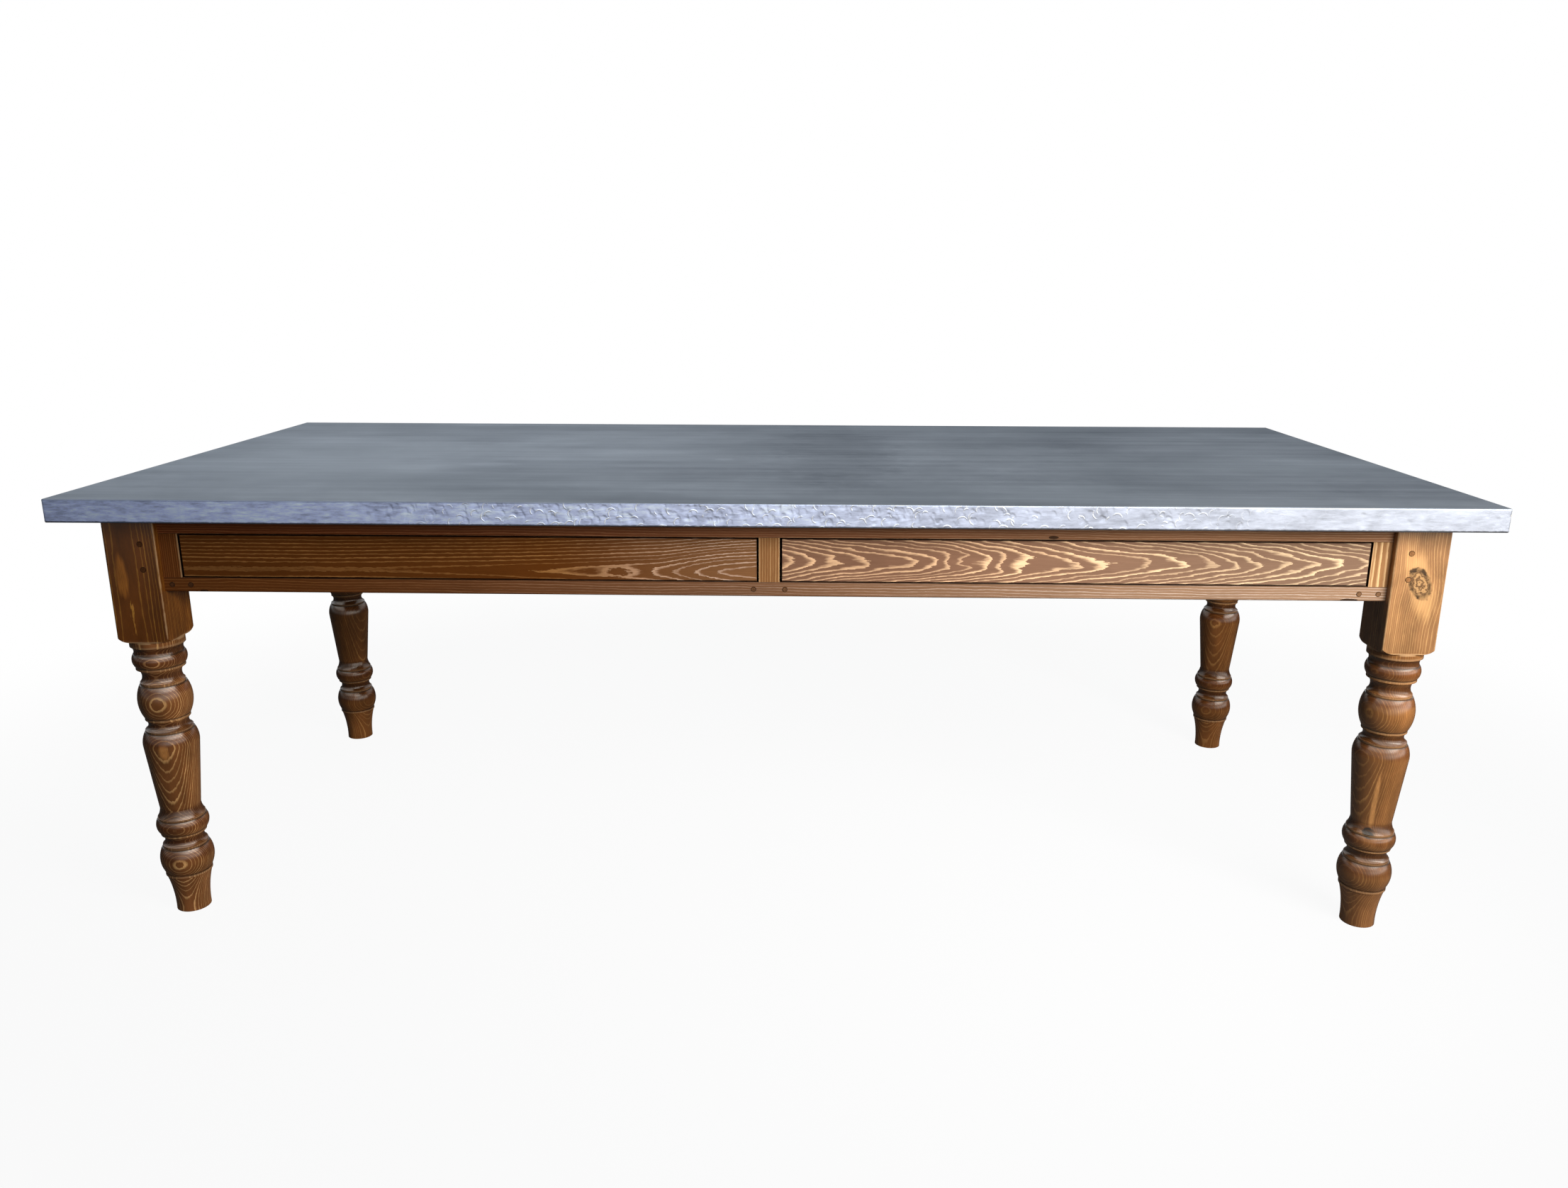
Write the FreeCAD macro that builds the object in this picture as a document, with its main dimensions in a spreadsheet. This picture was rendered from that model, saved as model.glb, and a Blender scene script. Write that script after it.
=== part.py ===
import FreeCAD
import Part
import math
import os
import Sketcher
import types

# Kitchen table: a zinc-clad top on a pegged pine frame with four turned legs and two drawers.
# Millimetres, +Z up. The origin is on the floor under the middle of the table, and the
# drawers open towards -Y.

Vector = FreeCAD.Vector

SIZES = {
    # Overall, to the outside of the zinc
    "table_length": 2286.0,
    "table_width": 1016.0,
    "table_height": 762.0,
    # Top: zinc sheet folded over a built-up core and tacked underneath
    "zinc_thickness": 1.0,
    "zinc_edge_radius": 2.0,
    "zinc_lip_width": 30.0,
    "panel_thickness": 18.0,
    "strip_thickness": 18.0,
    "strip_width": 150.0,
    "batten_width": 100.0,
    "tack_inset": 16.0,
    "tack_head_radius": 3.0,
    "tack_head_thickness": 0.8,
    "tack_shank_radius": 0.9,
    "tack_shank_length": 12.0,
    # Square post of the leg
    "leg_overhang": 55.0,
    "post_width": 86.0,
    "post_length": 216.5,
    "post_arris_radius": 3.0,
    "post_shoulder_height": 10.5,
    "post_shoulder_radius": 45.0,
    "post_shoulder_middle_radius": 55.0,
    "post_shoulder_middle_height": 2.3,
    # Turning of the leg from the floor up: heights, and radii at the low end, middle and high end
    "foot_height": 70.0,
    "foot_low_radius": 28.3,
    "foot_middle_radius": 29.8,
    "foot_high_radius": 37.0,
    "foot_ring_height": 5.0,
    "foot_ring_radius": 38.2,
    "foot_ball_height": 48.0,
    "foot_ball_low_radius": 37.2,
    "foot_ball_middle_radius": 43.9,
    "foot_ball_high_radius": 38.0,
    "foot_cap_height": 5.0,
    "foot_cap_radius": 36.6,
    "lower_cove_height": 19.0,
    "lower_cove_low_radius": 36.0,
    "lower_cove_middle_radius": 31.6,
    "lower_cove_high_radius": 35.4,
    "lower_ring_height": 4.0,
    "lower_ring_radius": 37.0,
    "lower_bead_height": 26.0,
    "lower_bead_low_radius": 37.8,
    "lower_bead_middle_radius": 42.6,
    "lower_bead_high_radius": 39.4,
    "lower_cap_height": 4.0,
    "lower_cap_radius": 38.4,
    "flare_height": 16.0,
    "flare_low_radius": 37.8,
    "flare_middle_radius": 34.4,
    "flare_high_radius": 32.8,
    "taper_high_radius": 44.2,
    "bulb_height": 29.0,
    "bulb_middle_radius": 44.0,
    "bulb_high_radius": 38.8,
    "bulb_ring_height": 4.0,
    "bulb_ring_radius": 37.8,
    "middle_cove_height": 18.0,
    "middle_cove_low_radius": 37.0,
    "middle_cove_middle_radius": 31.8,
    "middle_cove_high_radius": 35.0,
    "ball_ring_height": 5.0,
    "ball_ring_radius": 35.9,
    "ball_height": 58.0,
    "ball_low_radius": 36.4,
    "ball_middle_radius": 43.4,
    "ball_high_radius": 37.0,
    "ball_cap_height": 5.0,
    "ball_cap_radius": 35.4,
    "upper_cove_height": 24.0,
    "upper_cove_low_radius": 34.6,
    "upper_cove_middle_radius": 30.9,
    "upper_cove_high_radius": 36.0,
    "upper_ring_height": 5.0,
    "upper_ring_radius": 38.8,
    "upper_bead_height": 22.0,
    "upper_bead_low_radius": 39.2,
    "upper_bead_middle_radius": 43.0,
    "upper_bead_high_radius": 40.0,
    "neck_height": 14.5,
    "neck_low_radius": 39.4,
    "neck_middle_radius": 38.4,
    "neck_high_radius": 41.8,
    "collar_height": 12.0,
    "collar_radius": 43.2,
    # Aprons and the front frame
    "apron_height": 130.0,
    "apron_thickness": 28.0,
    "apron_setback": 12.0,
    "apron_arris_radius": 1.5,
    "top_rail_height": 31.5,
    "bottom_rail_height": 24.5,
    "bottom_rail_arris_radius": 3.0,
    "end_stile_width": 31.0,
    "centre_stile_width": 34.0,
    # Tenons, pegs and dowels
    "tenon_thickness": 10.0,
    "tenon_length": 36.0,
    "tenon_setback": 9.0,
    "tenon_low_shoulder": 5.0,
    "tenon_high_shoulder": 10.0,
    "mortise_end_gap": 1.0,
    "stub_length": 8.0,
    "stub_shoulder": 5.0,
    "stub_end_gap": 0.5,
    "peg_radius": 4.75,
    "peg_length": 50.0,
    "peg_inset": 25.5,
    "peg_spacing": 43.0,
    "peg_proud": 0.6,
    "peg_chamfer": 0.5,
    "dowel_radius": 4.4,
    "dowel_length": 60.0,
    "dowel_hole_gap": 1.0,
    "dowel_spacing_end": 31.0,
    "dowel_spacing_centre": 51.4,
    "peg_clearance": 0.05,
    # Drawer runners, guides, kickers and stops
    "end_runner_width": 57.0,
    "centre_runner_width": 84.0,
    "end_kicker_width": 52.0,
    "centre_kicker_width": 90.0,
    "housing_depth": 8.0,
    "guide_height": 20.0,
    "guide_clearance": 1.0,
    "stop_width": 45.0,
    "stop_height": 7.0,
    "stop_clearance": 0.3,
    "stop_spread": 400.0,
    # Buttons that hold the top, and the screws
    "button_length": 34.0,
    "button_width": 40.0,
    "button_height": 22.0,
    "button_gap": 1.0,
    "tongue_thickness": 8.0,
    "tongue_length": 8.0,
    "slot_clearance": 1.0,
    "end_button_spread": 300.0,
    "back_button_inner_share": 0.25,
    "back_button_outer_share": 0.75,
    "screw_radius": 2.2,
    "screw_head_radius": 4.3,
    "screw_head_height": 2.6,
    "screw_bite": 14.0,
    "screw_clearance": 0.05,
    "counterbore_radius": 5.5,
    "counterbore_depth": 10.0,
    # Drawers
    "drawer_depth": 600.0,
    "drawer_front_thickness": 19.0,
    "drawer_front_arris_radius": 1.2,
    "drawer_side_thickness": 14.0,
    "drawer_back_thickness": 14.0,
    "drawer_bottom_thickness": 6.0,
    "drawer_side_gap": 3.4,
    "drawer_top_gap": 2.0,
    "drawer_bottom_gap": 1.6,
    "drawer_run_clearance": 0.3,
    "drawer_side_drop": 3.0,
    "drawer_back_drop": 5.0,
    "drawer_bottom_rise": 9.0,
    "groove_depth": 5.0,
    "groove_end_gap": 0.5,
    "dovetail_depth": 13.0,
    "dovetail_margin": 2.0,
    "dovetail_tip_share": 0.37,
    "dovetail_slope": 0.16,
    "bottom_screw_radius": 1.75,
    "bottom_screw_head_radius": 3.5,
    "bottom_screw_head_height": 2.0,
    "bottom_screw_bite": 20.0,
    "bottom_screw_spread": 640.0,
}

# How many of each small repeated piece
TACKS_LONG_SIDE = 12
TACKS_SHORT_SIDE = 4
FRONT_TAILS = 3
BACK_TAILS = 2
BOTTOM_SCREWS = 3

# Turned elements from the floor up: straight rings, and hollows or swellings that are arcs
TURNING = (
    ("foot", "arc"),
    ("foot_ring", "ring"),
    ("foot_ball", "arc"),
    ("foot_cap", "ring"),
    ("lower_cove", "arc"),
    ("lower_ring", "ring"),
    ("lower_bead", "arc"),
    ("lower_cap", "ring"),
    ("flare", "arc"),
    ("taper", "taper"),
    ("bulb", "bulb"),
    ("bulb_ring", "ring"),
    ("middle_cove", "arc"),
    ("ball_ring", "ring"),
    ("ball", "arc"),
    ("ball_cap", "ring"),
    ("upper_cove", "arc"),
    ("upper_ring", "ring"),
    ("upper_bead", "arc"),
    ("neck", "arc"),
    ("collar", "ring"),
)

LEFT = -1
RIGHT = 1
FRONT = -1
BACK = 1
SIDES = (("left", LEFT), ("right", RIGHT))
UP = (0, 0, 1)
DOWN = (0, 0, -1)
TO_BACK = (0, 1, 0)
TO_RIGHT = (1, 0, 0)


class Size:
    """A length that knows its number and the sheet formula that gives it."""

    def __init__(self, value, formula=None):
        self.value = value
        self.formula = formula or repr(value)

    def _join(self, sign, other, value):
        return Size(value, f"({self.formula} {sign} {other.formula})")

    def __add__(self, other):
        other = as_size(other)
        return self._join("+", other, self.value + other.value)

    def __sub__(self, other):
        other = as_size(other)
        return self._join("-", other, self.value - other.value)

    def __mul__(self, other):
        other = as_size(other)
        return self._join("*", other, self.value * other.value)

    def __truediv__(self, other):
        other = as_size(other)
        return self._join("/", other, self.value / other.value)

    def __neg__(self):
        return Size(-self.value, f"(-{self.formula})")


def as_size(number):
    return number if isinstance(number, Size) else Size(number)


ZERO = Size(0.0)

doc = FreeCAD.newDocument("kitchen_table")
sheet = doc.addObject("Spreadsheet::Sheet", "dims")
for row, (alias, number) in enumerate(SIZES.items(), start=1):
    sheet.set(f"A{row}", alias)
    sheet.set(f"B{row}", str(number))
    sheet.setAlias(f"B{row}", alias)
doc.recompute()

s = types.SimpleNamespace(**{alias: Size(number, f"dims.{alias}") for alias, number in SIZES.items()})
nodes = {}
removing_features = []


# Placing and joining

def sided(side, near, far):
    """The range from near to far on the side given by its sign."""
    return (near, far) if side > 0 else (-far, -near)


def about(centre, width):
    """A range of the given width with its middle at centre."""
    return (centre - width / 2, centre + width / 2)


def bind(item, **sizes):
    for name, size in sizes.items():
        item.setExpression(name, size.formula)
    return item


def place(item, x, y, z, rotation=None):
    item.Placement = FreeCAD.Placement(Vector(), rotation or FreeCAD.Rotation())
    for axis, size in zip("xyz", (x, y, z)):
        item.setExpression(f"Placement.Base.{axis}", as_size(size).formula)
    return item


def block(name, x, y, z):
    """A plain box between three ranges."""
    item = doc.addObject("Part::Box", name)
    bind(item, Length=x[1] - x[0], Width=y[1] - y[0], Height=z[1] - z[0])
    return place(item, x[0], y[0], z[0])


def rod(name, start, direction, radius, length):
    """A cylinder from its start point along a direction."""
    item = doc.addObject("Part::Cylinder", name)
    bind(item, Radius=radius, Height=length)
    return place(item, *start, FreeCAD.Rotation(Vector(*UP), Vector(*direction)))


def cone(name, start, direction, low_radius, high_radius, length):
    item = doc.addObject("Part::Cone", name)
    bind(item, Radius1=low_radius, Radius2=high_radius, Height=length)
    return place(item, *start, FreeCAD.Rotation(Vector(*UP), Vector(*direction)))


def fuse(name, pieces):
    item = doc.addObject("Part::MultiFuse", name)
    item.Shapes = pieces
    item.Refine = True
    return item


def group(name, pieces):
    """Separate solids held as one object."""
    item = doc.addObject("Part::Compound", name)
    item.Links = pieces
    return item


def cut(name, base, tools):
    item = doc.addObject("Part::Cut", name)
    item.Base = base
    item.Tool = group(f"{name}_cuts", tools)
    return item


def keep(item, label):
    """Names a finished sub-part."""
    item.Label = label
    nodes[label] = item
    return item


# Sketches whose points are pinned to the sheet

def origin_plane(body, role):
    return next(item for item in body.Origin.OriginFeatures if item.Role == role)


def sketch_on(body, role, name, offset=None):
    sketch = body.newObject("Sketcher::SketchObject", name)
    sketch.AttachmentSupport = [(origin_plane(body, role), "")]
    sketch.MapMode = "FlatFace"
    if offset is not None:
        sketch.setExpression("AttachmentOffset.Base.z", offset.formula)
    return sketch


def pin(sketch, geometry, end, x, y):
    """Holds a point at sheet distances from the sketch's origin, or on its axes."""
    for kind, size, zero_axis in (("DistanceX", x, -2), ("DistanceY", y, -1)):
        if size.value == 0:
            sketch.addConstraint(Sketcher.Constraint("PointOnObject", geometry, end, zero_axis))
            continue
        index = sketch.addConstraint(Sketcher.Constraint(kind, -1, 1, geometry, end, size.value))
        sketch.setExpression(f"Constraints[{index}]", size.formula)


def flat(point):
    return Vector(point[0].value, point[1].value, 0)


def outline(sketch, points, middles=None):
    """A closed outline through pinned points.

    The stretch that starts at point i is a line, or an arc through middles[i] where that is given.
    """
    middles = middles or {}
    count = len(points)
    ends = []
    through = []
    for index, point in enumerate(points):
        following = points[(index + 1) % count]
        if index not in middles:
            geometry = sketch.addGeometry(Part.LineSegment(flat(point), flat(following)), False)
            ends.append((geometry, 1, 2))
            continue
        middle = middles[index]
        turn = (flat(middle) - flat(point)).cross(flat(following) - flat(middle)).z
        first, last = (point, following) if turn > 0 else (following, point)
        arc = Part.Arc(flat(first), flat(middle), flat(last))
        geometry = sketch.addGeometry(arc, False)
        ends.append((geometry, 1, 2) if turn > 0 else (geometry, 2, 1))
        through.append((geometry, middle))
    for index in range(count):
        geometry, _, far_end = ends[index]
        next_geometry, near_end, _ = ends[(index + 1) % count]
        sketch.addConstraint(Sketcher.Constraint("Coincident", geometry, far_end, next_geometry, near_end))
    for (geometry, near_end, _), point in zip(ends, points):
        pin(sketch, geometry, near_end, *point)
    for geometry, middle in through:
        marker = sketch.addGeometry(Part.Point(flat(middle)), True)
        sketch.addConstraint(Sketcher.Constraint("PointOnObject", marker, 1, geometry))
        pin(sketch, marker, 1, *middle)


def rectangle(sketch, x, y):
    outline(sketch, [(x[0], y[0]), (x[1], y[0]), (x[1], y[1]), (x[0], y[1])])


def circle(sketch, x, y, radius):
    ring = Part.Circle(flat((x, y)), Vector(*UP), radius.value)
    index = sketch.addGeometry(ring, False)
    pin(sketch, index, 3, x, y)
    constraint = sketch.addConstraint(Sketcher.Constraint("Radius", index, radius.value))
    sketch.setExpression(f"Constraints[{constraint}]", radius.formula)


def pad(body, sketch, length):
    feature = body.newObject("PartDesign::Pad", f"{sketch.Name}_pad")
    feature.Profile = sketch
    return bind(feature, Length=length)


def pocket(body, sketch, length, along_normal):
    feature = body.newObject("PartDesign::Pocket", f"{sketch.Name}_pocket")
    feature.Profile = sketch
    feature.Reversed = along_normal
    removing_features.append(feature)
    return bind(feature, Length=length)


def turned(body, kind, sketch):
    """A revolution or groove about the sketch's upright axis."""
    feature = body.newObject(f"PartDesign::{kind}", f"{sketch.Name}_turned")
    feature.Profile = sketch
    feature.ReferenceAxis = (sketch, ["V_Axis"])
    feature.Angle = 360
    return feature


def rounded(body, base, radius, chosen):
    """Rounds the edges of base for which chosen(edge) holds."""
    doc.recompute()
    names = [f"Edge{i}" for i, edge in enumerate(base.Shape.Edges, start=1) if chosen(edge)]
    feature = body.newObject("PartDesign::Fillet", f"{base.Name}_rounded")
    feature.Base = (base, names)
    return bind(feature, Radius=radius)


def near(number, size):
    return abs(number - size.value) < 0.01


def board(name, x, y, z, arris=None, chosen=None):
    """A planed board between three ranges, with the chosen arrises eased."""
    body = doc.addObject("PartDesign::Body", name)
    sketch = sketch_on(body, "XY_Plane", f"{name}_section", z[0])
    rectangle(sketch, x, y)
    solid = pad(body, sketch, z[1] - z[0])
    if arris is not None:
        rounded(body, solid, arris, chosen)
    return body


# Levels and faces that the pieces share

half_length = s.table_length / 2
half_width = s.table_width / 2
core_top = s.table_height - s.zinc_thickness
panel_bottom = core_top - s.panel_thickness
frame_top = panel_bottom - s.strip_thickness
core_x = half_length - s.zinc_thickness
core_y = half_width - s.zinc_thickness
strip_inner_x = core_x - s.strip_width
strip_inner_y = core_y - s.strip_width

leg_x = half_length - s.leg_overhang - s.post_width / 2
leg_y = half_width - s.leg_overhang - s.post_width / 2
post_inner_x = leg_x - s.post_width / 2
post_inner_y = leg_y - s.post_width / 2
post_outer_x = leg_x + s.post_width / 2
post_outer_y = leg_y + s.post_width / 2
post_bottom = frame_top - s.post_length

apron_outer_x = post_outer_x - s.apron_setback
apron_outer_y = post_outer_y - s.apron_setback
apron_inner_x = apron_outer_x - s.apron_thickness
apron_inner_y = apron_outer_y - s.apron_thickness
apron_bottom = frame_top - s.apron_height
apron_levels = (apron_bottom, frame_top)
opening_top = frame_top - s.top_rail_height
opening_bottom = apron_bottom + s.bottom_rail_height
opening_middle = (opening_top + opening_bottom) / 2
opening_outer_x = post_inner_x - s.end_stile_width
opening_inner_x = s.centre_stile_width / 2

tenon_levels = (apron_bottom + s.tenon_low_shoulder, frame_top - s.tenon_high_shoulder)
tenon_x = (apron_outer_x - s.tenon_setback - s.tenon_thickness, apron_outer_x - s.tenon_setback)
tenon_y = (apron_outer_y - s.tenon_setback - s.tenon_thickness, apron_outer_y - s.tenon_setback)
peg_levels = about(opening_middle, s.peg_spacing)
peg_x = post_inner_x + s.peg_inset
peg_y = post_inner_y + s.peg_inset
peg_hole_radius = s.peg_radius + s.peg_clearance
dowel_hole_radius = s.dowel_radius + s.peg_clearance
dowel_level = apron_bottom + s.bottom_rail_height / 2

drawer_outer_x = opening_outer_x - s.drawer_side_gap
drawer_inner_x = opening_inner_x + s.drawer_side_gap
drawer_middle_x = (drawer_outer_x + drawer_inner_x) / 2
drawer_front_inner_y = -(apron_outer_y - s.drawer_front_thickness)
drawer_back_y = s.drawer_depth - apron_outer_y

# Runners and kickers: name, middle in x, widths and dowel spacing
end_runner_x = post_inner_x - s.end_runner_width / 2
end_kicker_x = post_inner_x - s.end_kicker_width / 2
CARRIERS = (
    ("left", -end_runner_x, s.end_runner_width, s.dowel_spacing_end, -end_kicker_x, s.end_kicker_width),
    ("centre", ZERO, s.centre_runner_width, s.dowel_spacing_centre, ZERO, s.centre_kicker_width),
    ("right", end_runner_x, s.end_runner_width, s.dowel_spacing_end, end_kicker_x, s.end_kicker_width),
)
DOWEL_X = [about(middle, spacing)[end] for _, middle, _, spacing, _, _ in CARRIERS for end in (0, 1)]
CORNERS = (
    ("front_left", LEFT, FRONT, 0),
    ("front_right", RIGHT, FRONT, 90),
    ("back_right", RIGHT, BACK, 180),
    ("back_left", LEFT, BACK, 270),
)
LONG_TACK_X = [core_x * ((2 * i + 1) / TACKS_LONG_SIDE - 1) for i in range(TACKS_LONG_SIDE)]
SHORT_TACK_Y = [strip_inner_y * ((2 * i + 1) / TACKS_SHORT_SIDE - 1) for i in range(TACKS_SHORT_SIDE)]
screw_hole_radius = s.screw_radius + s.screw_clearance
kicker_screw_y = (apron_inner_y + strip_inner_y) / 2
button_levels = (frame_top - s.button_gap - s.button_height, frame_top - s.button_gap)
tongue_levels = (button_levels[0], button_levels[0] + s.tongue_thickness)


# The top

def tack_points():
    """Where the tacks stand, in x and y."""
    edge_y = half_width - s.tack_inset
    edge_x = half_length - s.tack_inset
    points = [(x, y) for y in (-edge_y, edge_y) for x in LONG_TACK_X]
    points += [(x, y) for x in (-edge_x, edge_x) for y in SHORT_TACK_Y]
    return points


def tack_holes(name, points):
    start = frame_top - s.zinc_thickness
    radius = s.tack_shank_radius + s.screw_clearance
    return [rod(f"{name}_{i}", (x, y, start), UP, radius, s.tack_shank_length + s.screw_clearance)
            for i, (x, y) in enumerate(points)]


def zinc_cladding():
    """A tray of sheet upside down over the core, its lip folded in under the edge."""
    body = doc.addObject("PartDesign::Body", "zinc_sheet")
    lip_bottom = frame_top - s.zinc_thickness
    outside = sketch_on(body, "XY_Plane", "zinc_outside", lip_bottom)
    rectangle(outside, (-half_length, half_length), (-half_width, half_width))
    solid = pad(body, outside, s.table_height - lip_bottom)
    rounded(body, solid, s.zinc_edge_radius, lambda edge: not near(edge.BoundBox.ZMax, lip_bottom))
    mouth_x = half_length - s.zinc_lip_width
    mouth_y = half_width - s.zinc_lip_width
    mouth = sketch_on(body, "XY_Plane", "zinc_mouth", lip_bottom)
    rectangle(mouth, (-mouth_x, mouth_x), (-mouth_y, mouth_y))
    pocket(body, mouth, s.zinc_thickness, True)
    hollow = sketch_on(body, "XY_Plane", "zinc_hollow", frame_top)
    rectangle(hollow, (-core_x, core_x), (-core_y, core_y))
    pocket(body, hollow, core_top - frame_top, True)
    keep(cut("zinc_cladding", body, tack_holes("zinc_hole", tack_points())), "zinc_cladding")


def lip_tacks():
    lip_bottom = frame_top - s.zinc_thickness
    tacks = []
    for i, (x, y) in enumerate(tack_points()):
        head = rod(f"tack_head_{i}", (x, y, lip_bottom - s.tack_head_thickness), UP,
                   s.tack_head_radius, s.tack_head_thickness)
        shank = rod(f"tack_shank_{i}", (x, y, lip_bottom), UP, s.tack_shank_radius, s.tack_shank_length)
        tacks.append(fuse(f"tack_{i}", [head, shank]))
    keep(group("lip_tacks", tacks), "lip_tacks")


def pilot_holes(name, points):
    """Holes for the screws that come up through kickers and buttons."""
    return [rod(f"{name}_pilot_{i}", (x, y, frame_top), UP, screw_hole_radius,
                s.screw_bite + s.screw_clearance) for i, (x, y) in enumerate(points)]


def top_core():
    strips = (frame_top, panel_bottom)
    between_strips = (-strip_inner_y, strip_inner_y)
    keep(block("core_panel", (-core_x, core_x), (-core_y, core_y), (panel_bottom, core_top)), "core_panel")
    for name, side in (("front", FRONT), ("back", BACK)):
        label = f"core_strip_{name}"
        blank = block(f"{label}_blank", (-core_x, core_x), sided(side, strip_inner_y, core_y), strips)
        screws = [(carrier[4], kicker_screw_y * side) for carrier in CARRIERS]
        if side == BACK:
            screws += back_button_points()
        tacks = [(x, (half_width - s.tack_inset) * side) for x in LONG_TACK_X]
        holes = pilot_holes(label, screws) + tack_holes(f"{label}_tack", tacks)
        keep(cut(label, blank, holes), label)
    for name, side in SIDES:
        label = f"core_strip_{name}"
        blank = block(f"{label}_blank", sided(side, strip_inner_x, core_x), between_strips, strips)
        tacks = [((half_length - s.tack_inset) * side, y) for y in SHORT_TACK_Y]
        holes = pilot_holes(label, end_button_points(side)) + tack_holes(f"{label}_tack", tacks)
        keep(cut(label, blank, holes), label)
    batten = block("core_batten", about(ZERO, s.batten_width), between_strips, strips)
    keep(batten, "core_batten")


# The legs

def turning_outline():
    """Points of half the turned shape in radius and height, and the middles of its arcs."""
    fixed = [s.__dict__[f"{name}_height"] for name, kind in TURNING if kind != "taper"]
    taper_height = post_bottom - sum(fixed[1:], fixed[0])
    points = [(ZERO, ZERO)]
    middles = {}
    level = ZERO
    for name, kind in TURNING:
        sizes = {key: s.__dict__.get(f"{name}_{key}") for key in ("low_radius", "high_radius", "radius")}
        height = taper_height if kind == "taper" else s.__dict__[f"{name}_height"]
        top = level + height if level.value else height
        low = sizes["radius"] if kind == "ring" else sizes["low_radius"]
        high = sizes["radius"] if kind == "ring" else sizes["high_radius"]
        if low is not None:
            points.append((low, level))
        if kind in ("arc", "bulb"):
            middles[len(points) - 1] = (s.__dict__[f"{name}_middle_radius"], level + height / 2)
        points.append((high, top))
        level = top
    points.append((ZERO, level))
    return points, middles


def leg(name, side_x, side_y, quarter):
    """A square post above a turned shaft, mortised on its two inner faces and bored for pegs.

    It is drawn as the front left leg about its own axis and turned to its corner.
    """
    label = f"leg_{name}"
    half = s.post_width / 2
    body = doc.addObject("PartDesign::Body", label)
    shaft = sketch_on(body, "XZ_Plane", f"{label}_profile")
    outline(shaft, *turning_outline())
    turned(body, "Revolution", shaft)
    square = sketch_on(body, "XY_Plane", f"{label}_square", post_bottom)
    rectangle(square, (-half, half), (-half, half))
    post = pad(body, square, s.post_length)
    rounded(body, post, s.post_arris_radius, lambda edge: near(edge.Length, s.post_length))

    corner = s.post_width * math.sqrt(0.5)
    shoulder = sketch_on(body, "XZ_Plane", f"{label}_shoulder")
    low = (s.post_shoulder_radius, post_bottom)
    middle = (s.post_shoulder_middle_radius, post_bottom + s.post_shoulder_middle_height)
    high = (corner, post_bottom + s.post_shoulder_height)
    outline(shoulder, [low, high, (corner, post_bottom)], {0: middle})
    removing_features.append(turned(body, "Groove", shoulder))

    deep = (half - s.tenon_length - s.mortise_end_gap, half)
    cheek = half - s.apron_setback - s.tenon_setback
    across = (-cheek, s.tenon_thickness - cheek)
    mortises = sketch_on(body, "XY_Plane", f"{label}_mortises", tenon_levels[0])
    rectangle(mortises, deep, across)
    rectangle(mortises, across, deep)
    pocket(body, mortises, tenon_levels[1] - tenon_levels[0], True)

    bore = half - s.peg_inset
    faces = (("wide", "XZ_Plane", half, False), ("narrow", "YZ_Plane", -half, True))
    for face, role, offset, inwards in faces:
        holes = sketch_on(body, role, f"{label}_{face}_holes", offset)
        for peg_level in peg_levels:
            circle(holes, bore, peg_level, peg_hole_radius)
        pocket(body, holes, s.peg_length, inwards)
    place(body, leg_x * side_x, leg_y * side_y, ZERO, FreeCAD.Rotation(Vector(*UP), quarter))
    keep(body, label)


def peg(name, start, direction, radius, length):
    """A round peg driven along direction from a face, its end left a little proud and eased."""
    step = [Size(-component) for component in direction]
    shaft_start = [a + b * (s.peg_proud - s.peg_chamfer) for a, b in zip(start, step)]
    shaft = rod(f"{name}_shaft", shaft_start, direction, radius, length + s.peg_proud - s.peg_chamfer)
    tip_direction = [-component for component in direction]
    tip = cone(f"{name}_tip", shaft_start, tip_direction, radius, radius - s.peg_chamfer, s.peg_chamfer)
    return fuse(name, [shaft, tip])


def leg_pegs():
    pegs = []
    for name, side_x, side_y, _ in CORNERS:
        for i, level in enumerate(peg_levels):
            front = (peg_x * side_x, post_outer_y * side_y, level)
            side = (post_outer_x * side_x, peg_y * side_y, level)
            pegs.append(peg(f"peg_{name}_wide_{i}", front, (0, -side_y, 0), s.peg_radius, s.peg_length))
            pegs.append(peg(f"peg_{name}_narrow_{i}", side, (-side_x, 0, 0), s.peg_radius, s.peg_length))
    keep(group("leg_pegs", pegs), "leg_pegs")


# The front frame

def front_tenons(name, levels):
    """Tenons at both ends of a front rail."""
    y = sided(FRONT, *tenon_y)
    reach = post_inner_x + s.tenon_length
    return [block(f"{name}_tenon_{i}", sided(side, post_inner_x, reach), y, levels)
            for i, side in enumerate((LEFT, RIGHT))]


def stub_x():
    """The ranges in x of the stub tenons of the three stiles."""
    end = (opening_outer_x + s.stub_shoulder, post_inner_x - s.stub_shoulder)
    middle = about(ZERO, s.centre_stile_width - s.stub_shoulder * 2)
    return {"left": sided(LEFT, *end), "centre": middle, "right": end}


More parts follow.
